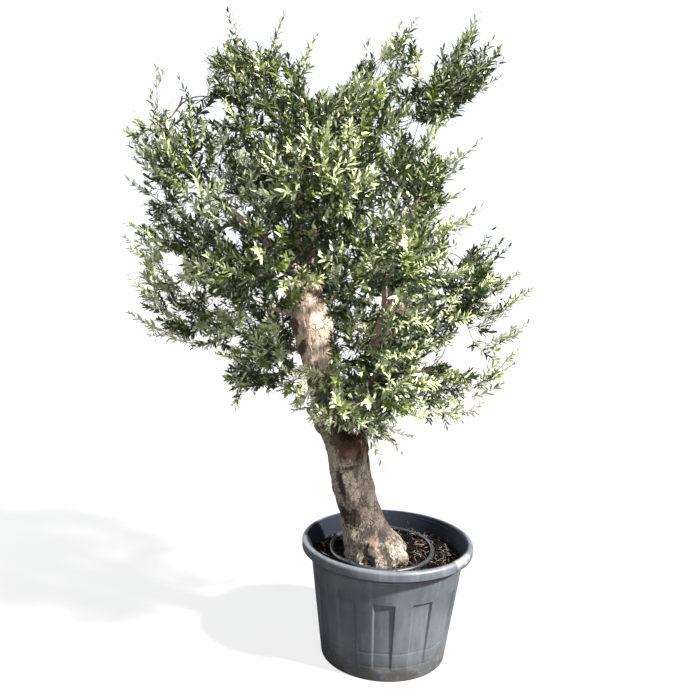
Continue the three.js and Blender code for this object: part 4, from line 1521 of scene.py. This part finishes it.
def crowdedOut(start, values, chance):        # few shoots close to the crown's edge and where it is thin
    reach = values["edgeReach"]
    nearEdge = not all(kept(start + Vector(step)) for step in ((reach, 0, 0), (-reach, 0, 0), (0, 0, reach)))
    if nearEdge and chance.random() > values["edgeKeep"]:
        return True
    seen = frontView(start)
    return any(ovalShare(seen.x, seen.z, oval) < 1 for oval in values["thin"]) and chance.random() < 0.5


def growShoots(branch, values, chance):        # each: start, leaving and arriving way, length, leaf spacing
    made = []
    for start, leaving, scale in shootPlaces(branch, values, chance):
        depth = depthBelow(start)
        if depth > values["deepest"] and chance.random() > values["deepKeep"]:
            continue
        away = outwardFrom(start)
        if leaving.dot(away) < -0.35 and chance.random() < values["inwardDrop"]:
            continue
        arriving = (leaving * values["turnOn"] + away * values["turnOut"] + at(0, values["turnUp"])
                    + jitter(chance, values["scatter"])).normalized()
        longest = values["shootLength"] if scale else values["wandLength"]
        length = chance.uniform(*longest) * (scale or 1)
        room = max(depth, 0) / max(0.35, arriving.dot(away))
        room += values["overhang"] * chance.uniform(*values["overhangUneven"])
        length = max(0.05, min(length, room))
        way = (leaving + arriving) / 2
        if not kept(start + way * length):
            length *= 0.6
        if not kept(start + way * length * 0.8) or length < values["shortest"]:
            continue
        if crossesNeck([start + way * length * share for share in (0, 0.3, 0.6, 1)]):
            continue
        if not crowdedOut(start, values, chance):
            made.append((start, leaving, arriving, length, 1.0))
    return made


def growSprigs(values, chance):
    for tip in map(Vector, values["sprigs"]):
        bearer, index = bestBearer(branches, tip, 0.2, values["frontSteer"])[1:]
        points = curveBetween(bearer.points[index], bearer.ways[index], tip, Vector(values["sprigWay"]),
                              values["branchSteps"], chance, values["frontWander"])
        sprig = taper(points, *values["sprigGirths"])
        branches.append(sprig)
        shoots.extend(growShoots(sprig, {**values, **values["sprigGrowth"]}, chance))


def growSprays(spots, depths, values, chance):        # to spots off the nearest branch, or off a limb
    limbPoints = [Vector(point) for node in limbs["stems"][1:] for point in stems[node][0]]
    for x, z in spots:
        tip = seenAt(x, z, chance.uniform(*depths))
        cost, bearer, index = bestBearer(branches, tip, 0.2, values["frontSteer"])
        start, leaving = bearer.points[index], bearer.ways[index]
        gap, near = min(((point - tip).length, order) for order, point in enumerate(limbPoints))
        if gap < cost:
            start, leaving = limbPoints[near], tip - limbPoints[near]
        arriving = Vector((chance.gauss(0, 0.3), -0.5, 0.7))
        points = curveBetween(start, leaving, tip, arriving, values["branchSteps"], chance,
                              values["frontWander"])
        if not crossesNeck(points):
            spray = taper(points, *values["sprayGirths"])
            branches.append(spray)
            shoots.extend(growShoots(spray, {**values, **values["sprayGrowth"]}, chance))


def growLeaders(values, chance):        # long straight wands with few short shoots
    for x, z, lean in values["leaders"]:
        tip = seenAt(x, z, chance.uniform(*values["leaderDepth"]))
        angle = math.radians(lean)
        away = Vector((math.cos(angle), chance.gauss(0, 0.15), math.sin(angle))).normalized()
        foot = tip - away * values["leaderReach"]
        bearer, index = bestBearer(branches, foot)[1:]
        begin = bearer.points[index]
        points = curveBetween(begin, foot - begin, tip, away, values["leaderSteps"], chance,
                              values["leaderWander"])
        if crossesNeck(points):
            continue
        thick, thin = values["leaderGirths"]
        wand = taper(points, min(bearer.girths[index], thick), thin)
        branches.append(wand)
        leafy = values["leaderLeafy"]
        shoots.append((points[leafy], wand.ways[leafy], wand.ways[-1],
                       (points[-1] - points[leafy]).length * 0.98, values["wandSpacing"]))
        for level in range(*values["sideShoots"]):
            along = wand.ways[level]
            side = along.orthogonal().normalized()
            side.rotate(Matrix.Rotation(level * 2.4, 3, along))
            way, end = ((along + side * spread + at(0, lift)).normalized()
                        for spread, lift in ((0.6, 0), (0.35, 0.15)))
            if chance.random() < values["sideKeep"]:
                length = chance.uniform(*values["sideLength"]) * (1.15 - level * 0.07)
                shoots.append((points[level], way, end, length, values["sideSpacing"]))


print("growing the crown")
chance = random.Random(growth["seed"])
runs = growRuns(growth, chance)
branches, shoots = [], []
for node, run in runs.items():
    grown = growBranches(node, run, growth, chance)
    branches += grown
    for branch in grown + [run]:
        shoots += growShoots(branch, growth, chance)
fill = growFill(branches, growth, chance)
branches += fill
for branch in fill:
    shoots += growShoots(branch, growth, chance)
growSprigs(growth, chance)
growSprays(growth["cover"], growth["coverDepth"], growth, chance)
growSprays(growth["infill"], growth["infillDepth"], growth, chance)
growLeaders(growth, chance)
print(len(runs), "runs,", len(branches), "branches,", len(shoots), "shoots")


def woodTubes(name, wood, sides):        # joined tapering tubes, one for each run of wood
    points, faces, start = [], [], 0
    around = numpy.arange(sides) * math.tau / sides
    for run in wood:
        centres = numpy.array([point[:] for point in run.points])
        ways = numpy.array([way[:] for way in run.ways])
        across = unit(numpy.cross(ways, numpy.array(run.ways[0].orthogonal())))
        ring = (across[:, None, :] * numpy.cos(around)[None, :, None]
                + numpy.cross(ways, across)[:, None, :] * numpy.sin(around)[None, :, None])
        ring *= numpy.array(run.girths)[:, None, None]
        points += [(centres[:, None, :] + ring).reshape(-1, 3), centres[[0, -1]]]
        last = start + (len(centres) - 1) * sides
        foot, tip = last + sides, last + sides + 1
        for index in range(sides):
            following = (index + 1) % sides
            faces += [(start + following, start + index, foot), (last + index, last + following, tip)]
            for low in range(start, last, sides):
                high = low + sides
                faces += [(low + index, low + following, high + following),
                          (low + index, high + following, high + index)]
        start = tip + 1
    return meshFromArrays(name, numpy.vstack(points), numpy.array(faces))


def leafTemplate(values, back):        # a narrow leaf of four triangles, pointed at both ends and arched
    work = bmesh.new()
    bmesh.ops.create_grid(work, x_segments=3, y_segments=1, size=0.5)
    for vert in work.verts:
        along, half = values["leafOutline"][round((vert.co.x + 0.5) * 3)]
        lift = values["leafArch"] * math.sin(math.pi * along) - values["leafDroop"] * along
        vert.co = (along, half if vert.co.y > 0 else -half, lift)
    bmesh.ops.remove_doubles(work, verts=work.verts, dist=0.001)
    if back:
        bmesh.ops.reverse_faces(work, faces=work.faces)
    return arraysOf(work)


leafTones = {        # tone: share of the shoots, base colour
    "leavesDeep": (0.20, (0.010, 0.024, 0.006)),
    "leavesGreen": (0.21, (0.11, 0.147, 0.032)),
    "leavesGrey": (0.26, (0.28, 0.34, 0.185)),
    "leavesFresh": (0.33, (0.56, 0.61, 0.34)),
}
backTones = {        # dealt half and half; the last is for the shade inside the crown
    "leafBacksPale": (0.40, 0.46, 0.26),
    "leafBacksSilver": (0.60, 0.63, 0.48),
    "leafBacksShade": (0.048, 0.072, 0.024),
}


def makeLeafMaterial(name, colour, roughness, shine):
    material, tree, shader = newMaterial(name, roughness, shine)
    gloss = mapRange(tree, noiseOn(tree, 90.0), toMin=roughness - 0.12, toMax=roughness + 0.12)
    setInputs(shader, Base_Color=colour, Roughness=gloss)
    return material


def leavesAlong(values, dice):        # pairs of leaves: place, way along, way they face, shoot, share of it
    starts, leaving, arriving = (numpy.array([shoot[part][:] for shoot in shoots]) for part in range(3))
    lengths, spacing = (numpy.array([shoot[part] for shoot in shoots]) for part in (3, 4))
    counts = numpy.maximum(3, (lengths * 0.92 / values["leafSpacing"] / spacing).astype(int))
    leafFrom = values["leafFrom"]
    owner = numpy.repeat(numpy.arange(len(shoots)), counts)
    step = numpy.concatenate([numpy.arange(count) for count in counts])
    share = leafFrom + (1 - leafFrom) * (step + 0.5) / counts[owner]
    share = numpy.clip(share + dice.normal(0, values["leafSlip"], len(share)), 0.04, 1.0)
    passed, turning = share[:, None], (arriving - leaving)[owner]
    place = starts[owner] + lengths[owner][:, None] * (leaving[owner] * passed + turning * passed ** 2 / 2)
    way = unit(leaving[owner] + turning * passed)
    reference = unit(numpy.cross(way, numpy.array([0.31, 0.52, 0.79])))
    other = numpy.cross(way, reference)
    phase = dice.uniform(0, math.tau, len(shoots))[owner] + step * math.pi / 2
    phase += dice.normal(0, values["leafTurn"], len(step))
    low, high = (math.radians(angle) for angle in values["leafAngle"])
    out = []
    for half in (0, math.pi):
        turn = (phase + half)[:, None]
        side = reference * numpy.cos(turn) + other * numpy.sin(turn)
        angle = (low + (high - low) * share + dice.normal(0, values["leafSwing"], len(share)))[:, None]
        along = way * numpy.cos(angle) + side * numpy.sin(angle)
        facing = way * numpy.sin(angle) - side * numpy.cos(angle)
        facing[:, 2] += values["leafUp"]
        facing += dice.normal(0, values["leafTumble"], facing.shape)
        facing = facing - (facing * along).sum(axis=1, keepdims=True) * along
        out.append((place, along, facing, owner, share))
    return [numpy.concatenate(parts) for parts in zip(*out)]


def haveRoom(values, dice, place, along):        # leaves inside the box and clear of the crown's gaps
    tips = place + along * values["leafLength"][1]
    low, high = numpy.array(cadBox[0]) - values["proud"], numpy.array(cadBox[1]) + values["proud"]
    viewer = numpy.array(studio["cameraPlace"])
    seen = viewer + (place - viewer) * (-viewer[1] / (place[:, 1:2] - viewer[1]))
    cleared = numpy.zeros(len(place), bool)
    front = place[:, 1] < values["windowFront"]
    for kind, edge, where in (("gaps", "gapEdge", True), ("windows", "windowEdge", front)):
        for oval in values[kind]:
            reach = dice.uniform(*values[edge], len(place))
            cleared |= (ovalShare(seen[:, 0], seen[:, 2], oval) < reach) & where
    return ((tips > low) & (tips < high) & (place > low) & (place < high)).all(axis=1) & ~cleared


def dealTones(values, dice, owner, inner):        # a tone for each spray, darker deeper in the crown as painted shade, and another for a few of its leaves
    chances = numpy.array([share for share, colour in leafTones.values()])
    chances = chances * (1 + inner[:, None] * values["innerTones"])
    sums = numpy.cumsum(chances / chances.sum(axis=1, keepdims=True), axis=1)
    dealt = (dice.random(len(shoots))[:, None] > sums[:, :-1]).sum(axis=1)[owner]
    swap = dice.random(len(owner)) < values["oddTones"]
    return numpy.where(swap, dice.integers(0, len(leafTones), len(owner)), dealt)


def makeFoliage(values):
    dice = numpy.random.default_rng(values["seed"])
    place, along, facing, owner, share = leavesAlong(values, dice)
    room = haveRoom(values, dice, place, along)
    place, along, facing, owner, share = (part[room] for part in (place, along, facing, owner, share))
    past = numpy.maximum(0, share - values["tipFrom"]) / (1 - values["tipFrom"])
    size = dice.uniform(*values["leafLength"], len(place)) * (1 - values["tipShrink"] * past)
    size *= dice.uniform(*values["sprayUneven"], len(shoots))[owner]
    width = size * dice.uniform(*values["leafWidth"], len(place))
    inner = numpy.clip(numpy.array([depthBelow(shoot[0]) for shoot in shoots]) / values["innerFrom"], 0, 1)

    def settleTones(tones, dealt, lift, back, roughness, shine, nodes):
        for index, (tone, colour) in enumerate(tones.items()):
            chosen = dealt == index
            piece = dealOut(tone, leafTemplate(values, back), (place + lift)[chosen], along[chosen],
                            facing[chosen], size[chosen], width[chosen])
            settle(piece, makeLeafMaterial(tone, colour, roughness, shine), "foliage", *nodes)
            nodes = ()        # the first tone stands for all the masses

    fronts = {tone: colour for tone, (part, colour) in leafTones.items()}
    settleTones(fronts, dealTones(values, dice, owner, inner), 0.0, False, 0.32, 0.8, sorted(masses))
    shaded = dice.random(len(shoots)) < inner * values["innerBacks"]
    backs = numpy.where(shaded, 2, dice.integers(0, 2, len(shoots)))[owner]
    settleTones(backTones, backs, unit(facing) * -values["backing"], True, 0.6, 0.3, ())
    print(len(place), "leaves")


def makeTwigMaterial(name, dark, light):
    material, tree, shader = newMaterial(name, 0.75, 0.3)
    setInputs(shader, Base_Color=rampOn(tree, noiseOn(tree, 30.0, 4.0, 0.7), (0.3, dark), (0.7, light)))
    addBump(shader, noiseOn(tree, 300.0), 0.5, 0.0008)
    return material


def shootStem(values, start, leaving, arriving, length):        # the thin wood under its leaves
    points = [start + (leaving * share + (arriving - leaving) * share * share / 2) * length
              for share in values["stemPoints"]]
    return Run(points, [values["shootGirth"] * share for share in values["stemPoints"].values()])


def makeWood(values):
    greyWood = makeTwigMaterial("greyBranch", (0.07, 0.052, 0.036), (0.25, 0.2, 0.15))
    youngWood = makeTwigMaterial("youngShoot", (0.075, 0.065, 0.026), (0.2, 0.17, 0.08))
    stalks = [shootStem(values, *shoot[:4]) for shoot in shoots]
    looks = ((runs.values(), greyWood, "bark"), (branches, greyWood, "bark"), (stalks, youngWood, "foliage"))
    for (name, sides), (wood, material, slot) in zip(values["woodSides"].items(), looks):
        settle(woodTubes(name, wood, sides), material, slot)


makeFoliage(growth)
makeWood(growth)
print("crown ready")
